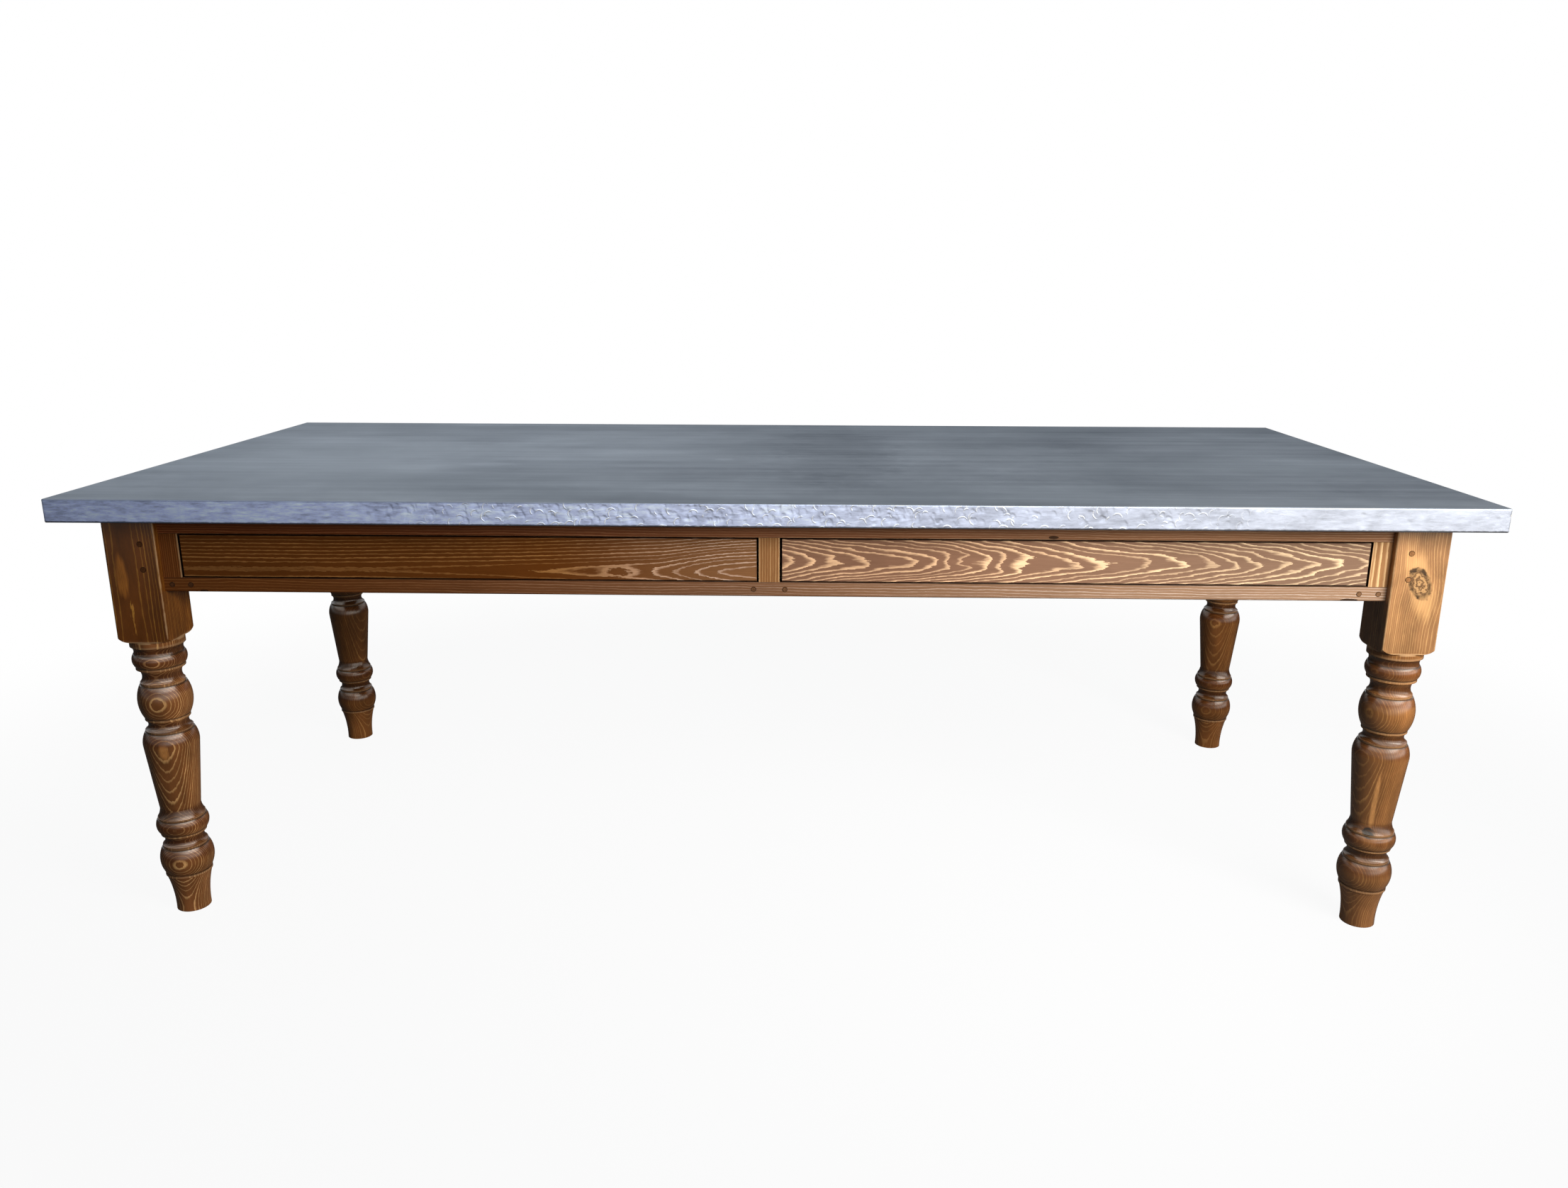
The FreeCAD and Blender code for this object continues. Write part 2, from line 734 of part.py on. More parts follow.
def front_rails():
    y = sided(FRONT, apron_inner_y, apron_outer_y)
    x = (-post_inner_x, post_inner_x)
    stub_y = sided(FRONT, *tenon_y)
    depth = s.stub_length + s.stub_end_gap
    housing = sided(FRONT, apron_inner_y, apron_inner_y + s.housing_depth)

    def front_arris(level):
        return lambda edge: near(edge.CenterOfMass.z, level) and near(edge.CenterOfMass.y, y[0])

    top = board("front_top_rail_blank", x, y, (opening_top, frame_top), s.apron_arris_radius,
                front_arris(opening_top))
    top_cuts = [block(f"top_rail_{name}_mortise", span, stub_y, (opening_top, opening_top + depth))
                for name, span in stub_x().items()]
    top_cuts += [block(f"top_rail_{name}_housing", about(middle, width), housing, (opening_top, frame_top))
                 for name, _, _, _, middle, width in CARRIERS]
    tenons = front_tenons("front_top_rail", (opening_top, tenon_levels[1]))
    keep(cut("front_top_rail", fuse("front_top_rail_body", [top] + tenons), top_cuts), "front_top_rail")

    bottom = board("front_bottom_rail_blank", x, y, (apron_bottom, opening_bottom),
                   s.bottom_rail_arris_radius, front_arris(apron_bottom))
    mortise_levels = (opening_bottom - depth, opening_bottom)
    bottom_cuts = [block(f"bottom_rail_{name}_mortise", span, stub_y, mortise_levels)
                   for name, span in stub_x().items()]
    bottom_cuts += [rod(f"bottom_rail_hole_{i}", (hole_x, y[0], dowel_level), TO_BACK, dowel_hole_radius,
                        s.apron_thickness) for i, hole_x in enumerate(DOWEL_X)]
    tenons = front_tenons("front_bottom_rail", (tenon_levels[0], opening_bottom))
    keep(cut("front_bottom_rail", fuse("front_bottom_rail_body", [bottom] + tenons), bottom_cuts),
         "front_bottom_rail")


def stiles():
    y = sided(FRONT, apron_inner_y, apron_outer_y)
    stub_y = sided(FRONT, *tenon_y)
    levels = (opening_bottom, opening_top)
    stub_levels = (opening_bottom - s.stub_length, opening_top + s.stub_length)
    reach = post_inner_x + s.tenon_length
    for name, span in stub_x().items():
        label = f"{name}_stile"
        if name == "centre":
            x = about(ZERO, s.centre_stile_width)
        else:
            side = LEFT if name == "left" else RIGHT
            x = sided(side, opening_outer_x, post_inner_x)
        upright = board(f"{label}_blank", x, y, levels)
        stub = block(f"{label}_stubs", span, stub_y, stub_levels)
        if name == "centre":
            keep(fuse(label, [upright, stub]), label)
            continue
        tenon = block(f"{label}_tenon", sided(side, post_inner_x, reach), stub_y, levels)
        holes = [rod(f"{label}_hole_{i}", (peg_x * side, stub_y[0], level), TO_BACK, peg_hole_radius,
                     s.tenon_thickness) for i, level in enumerate(peg_levels)]
        keep(cut(label, fuse(f"{label}_body", [upright, stub, tenon]), holes), label)


# The other aprons

def lower_outer_arris(outer, axis):
    """Chooses the lower edge of an apron's outer face."""
    def chosen(edge):
        middle = edge.CenterOfMass
        return near(middle.z, apron_bottom) and near(getattr(middle, axis), outer)
    return chosen


def back_apron():
    x = (-post_inner_x, post_inner_x)
    blank = board("back_apron_blank", x, (apron_inner_y, apron_outer_y), apron_levels,
                  s.apron_arris_radius, lower_outer_arris(apron_outer_y, "y"))
    reach = post_inner_x + s.tenon_length
    tenons = [block(f"back_apron_tenon_{i}", sided(side, post_inner_x, reach), tenon_y, tenon_levels)
              for i, side in enumerate((LEFT, RIGHT))]
    holes = [rod(f"back_apron_{name}_hole_{i}", (peg_x * side, tenon_y[0], level), TO_BACK, peg_hole_radius,
                 s.tenon_thickness) for name, side in SIDES for i, level in enumerate(peg_levels)]
    housing = (apron_inner_y, apron_inner_y + s.housing_depth)
    for name, runner_x, runner_width, _, kicker_x, kicker_width in CARRIERS:
        holes.append(block(f"back_apron_{name}_runner_housing", about(runner_x, runner_width), housing,
                           (apron_bottom, opening_bottom)))
        holes.append(block(f"back_apron_{name}_kicker_housing", about(kicker_x, kicker_width), housing,
                           (opening_top, frame_top)))
    slot_width = s.button_width + s.slot_clearance * 2
    slot_y = (apron_inner_y, apron_inner_y + s.tongue_length + s.slot_clearance)
    slot_levels = (tongue_levels[0] - s.slot_clearance, tongue_levels[1])
    holes += [block(f"back_apron_slot_{i}", about(middle, slot_width), slot_y, slot_levels)
              for i, middle in enumerate(back_button_x())]
    keep(cut("back_apron", fuse("back_apron_body", [blank] + tenons), holes), "back_apron")


def end_aprons():
    reach = post_inner_y + s.tenon_length
    slot_width = s.button_width + s.slot_clearance * 2
    slot_levels = (tongue_levels[0] - s.slot_clearance, tongue_levels[1])
    for name, side in SIDES:
        label = f"{name}_apron"
        x = sided(side, apron_inner_x, apron_outer_x)
        blank = board(f"{label}_blank", x, (-post_inner_y, post_inner_y), apron_levels,
                      s.apron_arris_radius, lower_outer_arris(apron_outer_x * side, "x"))
        tenon_span = sided(side, *tenon_x)
        tenons = [block(f"{label}_tenon_{i}", tenon_span, sided(end, post_inner_y, reach), tenon_levels)
                  for i, end in enumerate((FRONT, BACK))]
        hole_places = [(tenon_span[0], peg_y * end, level) for end in (FRONT, BACK) for level in peg_levels]
        holes = [rod(f"{label}_hole_{i}", hole_place, TO_RIGHT, peg_hole_radius, s.tenon_thickness)
                 for i, hole_place in enumerate(hole_places)]
        slot_x = sided(side, apron_inner_x, apron_inner_x + s.tongue_length + s.slot_clearance)
        holes += [block(f"{label}_slot_{i}", slot_x, about(middle, slot_width), slot_levels)
                  for i, middle in enumerate(about(ZERO, s.end_button_spread))]
        keep(cut(label, fuse(f"{label}_body", [blank] + tenons), holes), label)


# What carries the drawers

def runners_and_kickers():
    runner_y = (-apron_inner_y, apron_inner_y + s.housing_depth)
    kicker_y = (-apron_inner_y - s.housing_depth, apron_inner_y + s.housing_depth)
    runner_levels = (apron_bottom, opening_bottom)
    kicker_levels = (opening_top, frame_top)
    dowel_end = s.dowel_length - s.apron_thickness + s.dowel_hole_gap
    for name, runner_x, runner_width, spacing, kicker_x, kicker_width in CARRIERS:
        runner = block(f"{name}_runner_blank", about(runner_x, runner_width), runner_y, runner_levels)
        holes = [rod(f"{name}_runner_hole_{i}", (hole_x, -apron_inner_y, dowel_level), TO_BACK,
                     dowel_hole_radius, dowel_end) for i, hole_x in enumerate(about(runner_x, spacing))]
        keep(cut(f"{name}_runner", runner, holes), f"{name}_runner")
        kicker = block(f"{name}_kicker_blank", about(kicker_x, kicker_width), kicker_y, kicker_levels)
        holes = []
        for i, side in enumerate((FRONT, BACK)):
            foot = (kicker_x, kicker_screw_y * side, opening_top)
            bore = rod(f"{name}_kicker_bore_{i}", foot, UP, s.counterbore_radius, s.counterbore_depth)
            through = rod(f"{name}_kicker_hole_{i}", foot, UP, screw_hole_radius, s.top_rail_height)
            holes += [bore, through]
        keep(cut(f"{name}_kicker", kicker, [fuse(f"{name}_kicker_holes", holes)]), f"{name}_kicker")


def guides_and_stops():
    levels = (opening_bottom, opening_bottom + s.guide_height)
    y = (-apron_inner_y, apron_inner_y)
    end = (drawer_outer_x + s.guide_clearance, post_inner_x)
    middle = about(ZERO, (drawer_inner_x - s.guide_clearance) * 2)
    for name, x in (("left", sided(LEFT, *end)), ("centre", middle), ("right", end)):
        keep(block(f"{name}_guide", x, y, levels), f"{name}_guide")
    stops = []
    stop_y = (drawer_front_inner_y + s.stop_clearance, -apron_inner_y)
    stop_levels = (opening_bottom, opening_bottom + s.stop_height)
    for name, side in SIDES:
        for i, x in enumerate(about(drawer_middle_x * side, s.stop_spread)):
            stops.append(block(f"{name}_stop_{i}", about(x, s.stop_width), stop_y, stop_levels))
    keep(group("drawer_stops", stops), "drawer_stops")


def runner_dowels():
    dowels = [peg(f"dowel_{i}", (x, -apron_outer_y, dowel_level), TO_BACK, s.dowel_radius, s.dowel_length)
              for i, x in enumerate(DOWEL_X)]
    keep(group("runner_dowels", dowels), "runner_dowels")


# What holds the top down

def back_button_x():
    """Two buttons behind each drawer, at shares of the clear length between the posts."""
    inner = post_inner_x * s.back_button_inner_share
    outer = post_inner_x * s.back_button_outer_share
    return [-outer, -inner, inner, outer]


def back_button_points():
    """Screw places of the buttons along the back apron."""
    return [(x, apron_inner_y - s.button_length / 2) for x in back_button_x()]


def end_button_points(side):
    return [((apron_inner_x - s.button_length / 2) * side, y) for y in about(ZERO, s.end_button_spread)]


def button_points():
    return back_button_points() + end_button_points(LEFT) + end_button_points(RIGHT)


def top_buttons():
    """Wooden buttons whose tongues hook into slots in the aprons."""
    buttons = []
    inner_y = apron_inner_y - s.button_length
    inner_x = apron_inner_x - s.button_length
    tongue_y = (apron_inner_y, apron_inner_y + s.tongue_length)
    for i, x in enumerate(back_button_x()):
        span = about(x, s.button_width)
        buttons.append([block(f"back_button_{i}_body", span, (inner_y, apron_inner_y), button_levels),
                        block(f"back_button_{i}_tongue", span, tongue_y, tongue_levels)])
    for name, side in SIDES:
        body_x = sided(side, inner_x, apron_inner_x)
        tongue_x = sided(side, apron_inner_x, apron_inner_x + s.tongue_length)
        for i, y in enumerate(about(ZERO, s.end_button_spread)):
            span = about(y, s.button_width)
            buttons.append([block(f"{name}_button_{i}_body", body_x, span, button_levels),
                            block(f"{name}_button_{i}_tongue", tongue_x, span, tongue_levels)])
    finished = []
    for i, (pieces, (x, y)) in enumerate(zip(buttons, button_points())):
        foot = (x, y, button_levels[0])
        hole = rod(f"button_hole_{i}", foot, UP, screw_hole_radius, s.button_height)
        finished.append(cut(f"button_{i}", fuse(f"button_{i}_body", pieces), [hole]))
    keep(group("top_buttons", finished), "top_buttons")


def screw(name, seat, radius, length, head_radius, head_height):
    """A wood screw standing upwards, its domed head under the seat."""
    x, y, z = seat
    shank = rod(f"{name}_shank", (x, y, z), UP, radius, length)
    head = cone(f"{name}_head", (x, y, z), DOWN, head_radius, radius, head_height)
    return fuse(name, [shank, head])


def top_screws():
    length = frame_top - button_levels[0] + s.screw_bite
    buttons = [screw(f"button_screw_{i}", (x, y, button_levels[0]), s.screw_radius, length,
                     s.screw_head_radius, s.screw_head_height) for i, (x, y) in enumerate(button_points())]
    keep(group("button_screws", buttons), "button_screws")
    seat = opening_top + s.counterbore_depth
    length = frame_top - seat + s.screw_bite
    kickers = [screw(f"kicker_screw_{name}_{i}", (x, kicker_screw_y * side, seat), s.screw_radius, length,
                     s.screw_head_radius, s.screw_head_height)
               for name, _, _, _, x, _ in CARRIERS for i, side in enumerate((FRONT, BACK))]
    keep(group("kicker_screws", kickers), "kicker_screws")


# The drawers

def tail_points(base, tip, zone, count, upwards):
    """The corners of a row of dovetails between two levels, as one stretch of an outline."""
    pitch = (zone[1] - zone[0]) / count
    tip_half = pitch * s.dovetail_tip_share
    reach = tip - base if tip.value > base.value else base - tip
    base_half = tip_half - reach * s.dovetail_slope
    points = []
    for i in range(count):
        middle = zone[0] + pitch * (i + 0.5)
        points += [(base, middle - base_half), (tip, middle - tip_half),
                   (tip, middle + tip_half), (base, middle + base_half)]
    return points if upwards else points[::-1]


def drawer(name, side):
    """A dovetailed box with its bottom slid into grooves under the back."""
    box = (drawer_inner_x, drawer_outer_x)
    front_levels = (opening_bottom + s.drawer_bottom_gap, opening_top - s.drawer_top_gap)
    side_levels = (opening_bottom + s.drawer_run_clearance, opening_top - s.drawer_side_drop)
    bottom_levels = (opening_bottom + s.drawer_bottom_rise,
                     opening_bottom + s.drawer_bottom_rise + s.drawer_bottom_thickness)
    back_levels = (bottom_levels[1], side_levels[1] - s.drawer_back_drop)
    front_zone = (front_levels[0] + s.dovetail_margin, side_levels[1] - s.dovetail_margin)
    back_zone = (back_levels[0] + s.dovetail_margin, back_levels[1] - s.dovetail_margin)
    back_base = drawer_back_y - s.drawer_back_thickness
    front_tip = drawer_front_inner_y - s.dovetail_depth
    side_spans = {"outer": sided(side, box[1] - s.drawer_side_thickness, box[1]),
                  "inner": sided(side, box[0], box[0] + s.drawer_side_thickness)}
    groove_x = sided(side, box[0] + s.drawer_side_thickness - s.groove_depth,
                     box[1] - s.drawer_side_thickness + s.groove_depth)
    groove_y = (drawer_front_inner_y - s.groove_depth, drawer_back_y)

    side_blanks = []
    for place_name, span in side_spans.items():
        label = f"{name}_drawer_{place_name}_side"
        body = doc.addObject("PartDesign::Body", f"{label}_blank")
        shape = sketch_on(body, "YZ_Plane", f"{label}_outline")
        points = [(drawer_front_inner_y, side_levels[0]), (drawer_back_y, side_levels[0]),
                  (drawer_back_y, back_levels[0]), (back_base, back_levels[0])]
        points += tail_points(back_base, drawer_back_y, back_zone, BACK_TAILS, True)
        points += [(back_base, side_levels[1]), (drawer_front_inner_y, side_levels[1])]
        points += tail_points(drawer_front_inner_y, front_tip, front_zone, FRONT_TAILS, False)
        outline(shape, points)
        pad(body, shape, s.drawer_side_thickness)
        place(body, span[0], ZERO, ZERO)
        side_blanks.append(body)
        groove = block(f"{label}_groove", groove_x, (front_tip, drawer_back_y), bottom_levels)
        keep(cut(label, body, [groove]), label)

    front_y = (-apron_outer_y, drawer_front_inner_y)
    front = board(f"{name}_drawer_front_blank", sided(side, *box), front_y, front_levels,
                  s.drawer_front_arris_radius, lambda edge: near(edge.BoundBox.YMax, front_y[0]))
    front_groove_y = (groove_y[0], drawer_front_inner_y)
    groove = block(f"{name}_drawer_front_groove", groove_x, front_groove_y, bottom_levels)
    keep(cut(f"{name}_drawer_front", front, side_blanks + [groove]), f"{name}_drawer_front")

    screw_y = drawer_back_y - s.drawer_back_thickness / 2
    step = s.bottom_screw_spread / (BOTTOM_SCREWS - 1)
    screw_x = [drawer_middle_x * side + step * (i - (BOTTOM_SCREWS - 1) / 2) for i in range(BOTTOM_SCREWS)]
    hole_radius = s.bottom_screw_radius + s.screw_clearance
    back = block(f"{name}_drawer_back_blank", sided(side, *box), (back_base, drawer_back_y), back_levels)
    pilots = [rod(f"{name}_drawer_back_hole_{i}", (x, screw_y, back_levels[0]), UP, hole_radius,
                  s.bottom_screw_bite + s.screw_clearance) for i, x in enumerate(screw_x)]
    keep(cut(f"{name}_drawer_back", back, side_blanks + pilots), f"{name}_drawer_back")

    bottom_x = (groove_x[0] + s.groove_end_gap, groove_x[1] - s.groove_end_gap)
    bottom = block(f"{name}_drawer_bottom_blank", bottom_x, (groove_y[0] + s.groove_end_gap, drawer_back_y),
                   bottom_levels)
    holes = [rod(f"{name}_drawer_bottom_hole_{i}", (x, screw_y, bottom_levels[0]), UP, hole_radius,
                 s.drawer_bottom_thickness) for i, x in enumerate(screw_x)]
    keep(cut(f"{name}_drawer_bottom", bottom, holes), f"{name}_drawer_bottom")

    length = s.drawer_bottom_thickness + s.bottom_screw_bite
    screws = [screw(f"{name}_drawer_screw_{i}", (x, screw_y, bottom_levels[0]), s.bottom_screw_radius,
                    length, s.bottom_screw_head_radius, s.bottom_screw_head_height)
              for i, x in enumerate(screw_x)]
    keep(group(f"{name}_drawer_screws", screws), f"{name}_drawer_screws")


# Checking and writing

def check_document():
    doc.recompute()
    failed = [item.Name for item in doc.Objects if {"Invalid", "Error"} & set(item.State)]
    if failed:
        raise RuntimeError(f"failed objects: {failed}")
    for feature in removing_features:
        if feature.BaseFeature.Shape.Volume - feature.Shape.Volume < 1:
            raise RuntimeError(f"{feature.Name} removes nothing")
    for label, item in nodes.items():
        if item.Shape.isNull() or not item.Shape.isValid():
            raise RuntimeError(f"{label} has no valid shape")


def write_parts():
    os.makedirs("parts", exist_ok=True)
    for label, item in nodes.items():
        item.Shape.exportStep(f"parts/{label}.step")
        print(f"{label}: {len(item.Shape.Solids)} solids, {item.Shape.Volume / 1000:.1f} cm3")


zinc_cladding()
lip_tacks()
top_core()
for corner in CORNERS:
    leg(*corner)
leg_pegs()
front_rails()
stiles()
back_apron()
end_aprons()
runners_and_kickers()
guides_and_stops()
runner_dowels()
top_buttons()
top_screws()
drawer("left", LEFT)
drawer("right", RIGHT)
check_document()
write_parts()
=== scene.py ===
import math

import bpy
import numpy as np
from mathutils import Matrix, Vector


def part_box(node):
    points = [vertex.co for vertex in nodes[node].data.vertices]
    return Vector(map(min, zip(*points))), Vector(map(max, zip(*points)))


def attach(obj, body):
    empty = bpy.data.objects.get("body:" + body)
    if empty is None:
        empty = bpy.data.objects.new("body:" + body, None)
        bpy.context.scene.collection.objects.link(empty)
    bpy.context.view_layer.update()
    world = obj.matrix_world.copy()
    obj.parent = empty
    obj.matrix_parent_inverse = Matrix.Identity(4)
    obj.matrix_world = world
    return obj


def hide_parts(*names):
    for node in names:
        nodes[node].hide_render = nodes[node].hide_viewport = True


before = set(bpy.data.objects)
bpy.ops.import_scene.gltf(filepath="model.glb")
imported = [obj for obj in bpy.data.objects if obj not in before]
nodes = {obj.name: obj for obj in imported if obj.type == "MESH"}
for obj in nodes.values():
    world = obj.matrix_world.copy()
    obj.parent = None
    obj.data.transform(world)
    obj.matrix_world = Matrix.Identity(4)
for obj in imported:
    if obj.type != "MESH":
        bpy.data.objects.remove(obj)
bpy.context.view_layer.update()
scene = bpy.context.scene
scene.view_settings.view_transform = "Standard"


# Shorthand for shader nodes

class Place(tuple):
    """Three numbers that are a place or a direction and not a colour."""


def tint(value):
    """Gives a colour of three numbers its fourth; sockets, single numbers and places stay as they are."""
    if isinstance(value, Place) or not isinstance(value, tuple) or len(value) != 3:
        return value
    return (*value, 1.0)


def dimmed(colour, share):
    """A fixed colour times one number."""
    return tuple(part * share for part in colour)


# Sockets of the Mix node for share, a and b: for colours, and for single numbers
COLOUR_SOCKETS, NUMBER_SOCKETS = (0, 6, 7), (0, 2, 3)


class Graph:
    """Places shader nodes in one tree; a value may be a number, a tuple or another node's socket."""

    def __init__(self, tree):
        self.tree = tree

    def node(self, kind, **settings):
        """A new shader node with the given settings."""
        made = self.tree.nodes.new(kind)
        for key, value in settings.items():
            setattr(made, key, value)
        return made

    def feed(self, socket, value):
        """Links a socket to another one, or sets it to a constant."""
        if isinstance(value, bpy.types.NodeSocket):
            self.tree.links.new(value, socket)
        elif value is not None:
            socket.default_value = value

    def math(self, operation, a, b=None, c=None):
        made = self.node("ShaderNodeMath", operation=operation)
        for socket, value in zip(made.inputs, (a, b, c)):
            self.feed(socket, value)
        return made.outputs[0]

    def total(self, *terms):
        result = terms[0]
        for term in terms[1:]:
            result = self.math("ADD", result, term)
        return result

    def product(self, *factors):
        """The factors multiplied in turn; total adds its terms in the same way."""
        result = factors[0]
        for factor in factors[1:]:
            result = self.math("MULTIPLY", result, factor)
        return result

    def length(self, a, b):
        """The length of a flat offset."""
        return self.math("SQRT", self.math("ADD", self.math("MULTIPLY", a, a), self.math("MULTIPLY", b, b)))

    def vector(self, operation, a, b=None):
        made = self.node("ShaderNodeVectorMath", operation=operation)
        for socket, value in zip(made.inputs, (a, b)):
            self.feed(socket, value)
        return made.outputs["Value" if operation == "LENGTH" else "Vector"]

    def parts(self, vector):
        made = self.node("ShaderNodeSeparateXYZ")
        self.feed(made.inputs[0], vector)
        return made.outputs[0], made.outputs[1], made.outputs[2]

    def joined(self, x, y, z):
        made = self.node("ShaderNodeCombineXYZ")
        for socket, value in zip(made.inputs, (x, y, z)):
            self.feed(socket, value)
        return made.outputs[0]

    def noise(self, vector, scale=1.0, detail=2.0, roughness=0.5, shift=None):
        """Cloud noise about zero, from -1 to 1; scale may be one number or one per axis."""
        if isinstance(scale, tuple):
            vector = self.vector("MULTIPLY", vector, scale)
            scale = 1.0
        if shift is not None:
            vector = self.vector("ADD", vector, shift)
        made = self.node("ShaderNodeTexNoise", noise_dimensions="3D")
        self.feed(made.inputs["Vector"], vector)
        made.inputs["Scale"].default_value = scale
        made.inputs["Detail"].default_value = detail
        made.inputs["Roughness"].default_value = roughness
        return self.math("MULTIPLY_ADD", made.outputs[0], 2.0, -1.0)

    def random(self, value):
        """A chance value from 0 to 1 for each number."""
        made = self.node("ShaderNodeTexWhiteNoise", noise_dimensions="1D")
        self.feed(made.inputs["W"], value)
        return made.outputs["Value"]

    def step(self, value, low, high):
        """Smooth step, 0 below low and 1 above high; low may be the larger one."""
        made = self.node("ShaderNodeMapRange", interpolation_type="SMOOTHSTEP")
        self.feed(made.inputs["Value"], value)
        self.feed(made.inputs["From Min"], low)
        self.feed(made.inputs["From Max"], high)
        return made.outputs[0]

    def blend(self, share, a, b, mode="MIX"):
        """From colour a to colour b by share; with mode MULTIPLY, from a to a times b."""
        made = self.node("ShaderNodeMix", data_type="RGBA", blend_type=mode)
        for index, value in zip(COLOUR_SOCKETS, (share, a, b)):
            self.feed(made.inputs[index], tint(value))
        return made.outputs[2]

    def toned(self, colour, value):
        """A colour times one value."""
        return self.blend(1.0, colour, self.joined(value, value, value), "MULTIPLY")

    def between(self, share, a, b):
        """From number a to number b by share."""
        made = self.node("ShaderNodeMix", data_type="FLOAT")
        for index, value in zip(NUMBER_SOCKETS, (share, a, b)):
            self.feed(made.inputs[index], value)
        return made.outputs[0]

    def place(self, group, **values):
        """A node group with its sockets fed by name; returns its outputs."""
        made = self.node("ShaderNodeGroup", node_tree=group)
        for key, value in values.items():
            self.feed(made.inputs[key.replace("_", " ").title()], tint(value))
        return made.outputs


def new_group(name, inputs, outputs):
    """A shader node group; inputs are (name, kind, start value), outputs are (name, kind)."""
    tree = bpy.data.node_groups.new(name, "ShaderNodeTree")
    for label, kind, value in inputs:
        made = tree.interface.new_socket(label, in_out="INPUT", socket_type="NodeSocket" + kind)
        if value is not None:
            made.default_value = value
    for label, kind in outputs:
        tree.interface.new_socket(label, in_out="OUTPUT", socket_type="NodeSocket" + kind)
    graph = Graph(tree)
    return graph, graph.node("NodeGroupInput").outputs, graph.node("NodeGroupOutput").inputs


# Effects that several materials share

def pine_figure():
    """Year rings as a solid pattern. The vector runs along the grain in X, with the heart of the tree on X.
    Ring number = distance from the heart over the ring width, plus slope times X, plus bend times the square
    of how far X is past start, plus noise, plus pull. Line is the hard late wood at the outer end of each
    ring, fibre the fine streaks along the grain, and cloud a slow change of tone."""
    graph, given, out = new_group("pine_figure", (
        ("Vector", "Vector", None), ("Ring Width", "Float", 0.004), ("Slope", "Float", 0.0),
        ("Bend", "Float", 0.0), ("Start", "Float", 0.0), ("Wander", "Float", 0.6), ("Jag", "Float", 0.12),
        ("Pull", "Float", 0.0), ("Share", "Float", 0.45), ("Seed", "Float", 0.0),
    ), (("Line", "Float"), ("Fibre", "Float"), ("Cloud", "Float")))
    vector = given["Vector"]
    along, across, depth = graph.parts(vector)
    shift = graph.joined(given["Seed"], given["Seed"], given["Seed"])
    away = graph.length(across, depth)
    past = graph.math("MAXIMUM", graph.math("SUBTRACT", along, given["Start"]), 0.0)
    wander = graph.noise(vector, (3.2, 16.0, 16.0), 2.0, 0.45, shift)
    ripple = graph.noise(vector, (17.0, 75.0, 75.0), 2.0, 0.5, shift)
    jag = graph.noise(vector, (75.0, 620.0, 620.0), 2.0, 0.6, shift)
    ring = graph.total(
        graph.math("DIVIDE", away, given["Ring Width"]),
        graph.product(along, given["Slope"]),
        graph.product(past, past, given["Bend"]),
        graph.product(wander, given["Wander"]),
        graph.product(ripple, given["Wander"], 0.35),
        graph.product(jag, given["Jag"]),
        given["Pull"])
    part = graph.math("FRACT", ring)
    number = graph.math("ADD", graph.math("FLOOR", ring), given["Seed"])
    chance = graph.random(number)
    begin = graph.math("SUBTRACT", graph.math("SUBTRACT", 1.0, given["Share"]),
                       graph.math("MULTIPLY_ADD", chance, 0.2, -0.1))
    late = graph.product(graph.step(part, begin, 0.9), graph.step(part, 1.0, 0.965))
    bold = graph.math("MULTIPLY_ADD", chance, 0.55, 0.45)
    graph.feed(out["Line"], graph.product(late, bold))
    graph.feed(out["Fibre"], graph.noise(vector, (28.0, 1150.0, 1150.0), 3.0, 0.6, shift))
    graph.feed(out["Cloud"], graph.noise(vector, (2.6, 14.0, 14.0), 3.0, 0.55, shift))
    return graph.tree


def knot_in_pine():
    """An egg-shaped knot. Distance = length of (vector - centre) over the radii, roughened by noise. Core is
    the knot itself, tone its own rings, rim its dark border, halo the pale flame of wood above and below it,
    and pull the push it gives the year rings."""
    graph, given, out = new_group("knot_in_pine", (
        ("Vector", "Vector", None), ("Centre", "Vector", None), ("Radii", "Vector", None),
        ("Lean", "Float", 0.0),
    ), (("Core", "Float"), ("Tone", "Float"), ("Rim", "Float"), ("Halo", "Float"), ("Pull", "Float")))
    offset = graph.vector("SUBTRACT", given["Vector"], given["Centre"])
    x, y, z = graph.parts(offset)
    leaned = graph.joined(graph.math("ADD", x, graph.product(z, given["Lean"])), y, z)
    shares = graph.vector("DIVIDE", leaned, given["Radii"])
    rough = graph.noise(given["Vector"], 150.0, 3.0, 0.6)
    far = graph.math("MULTIPLY_ADD", rough, 0.22, graph.vector("LENGTH", shares))
    flame = graph.vector("LENGTH", graph.vector("MULTIPLY", shares, (0.85, 0.6, 0.42)))
    ragged = graph.noise(given["Vector"], (120.0, 120.0, 22.0), 2.0, 0.6)
    flame = graph.math("MULTIPLY_ADD", ragged, 0.5, flame)
    graph.feed(out["Core"], graph.step(far, 1.04, 0.94))
    rings = graph.math("SINE", graph.math("MULTIPLY_ADD", rough, 5.0, graph.product(far, 15.0)))
    graph.feed(out["Tone"], graph.math("MULTIPLY_ADD", rings, 0.5, 0.5))
    broken = graph.step(graph.noise(given["Vector"], 70.0, 2.0, 0.5), -0.35, 0.15)
    border = graph.product(graph.step(far, 0.72, 0.92), graph.step(far, 1.24, 1.04))
    graph.feed(out["Rim"], graph.product(border, graph.math("MULTIPLY_ADD", broken, 0.6, 0.4)))
    graph.feed(out["Halo"], graph.step(flame, 1.35, 0.55))
    graph.feed(out["Pull"], graph.step(far, 3.4, 0.6))
    return graph.tree


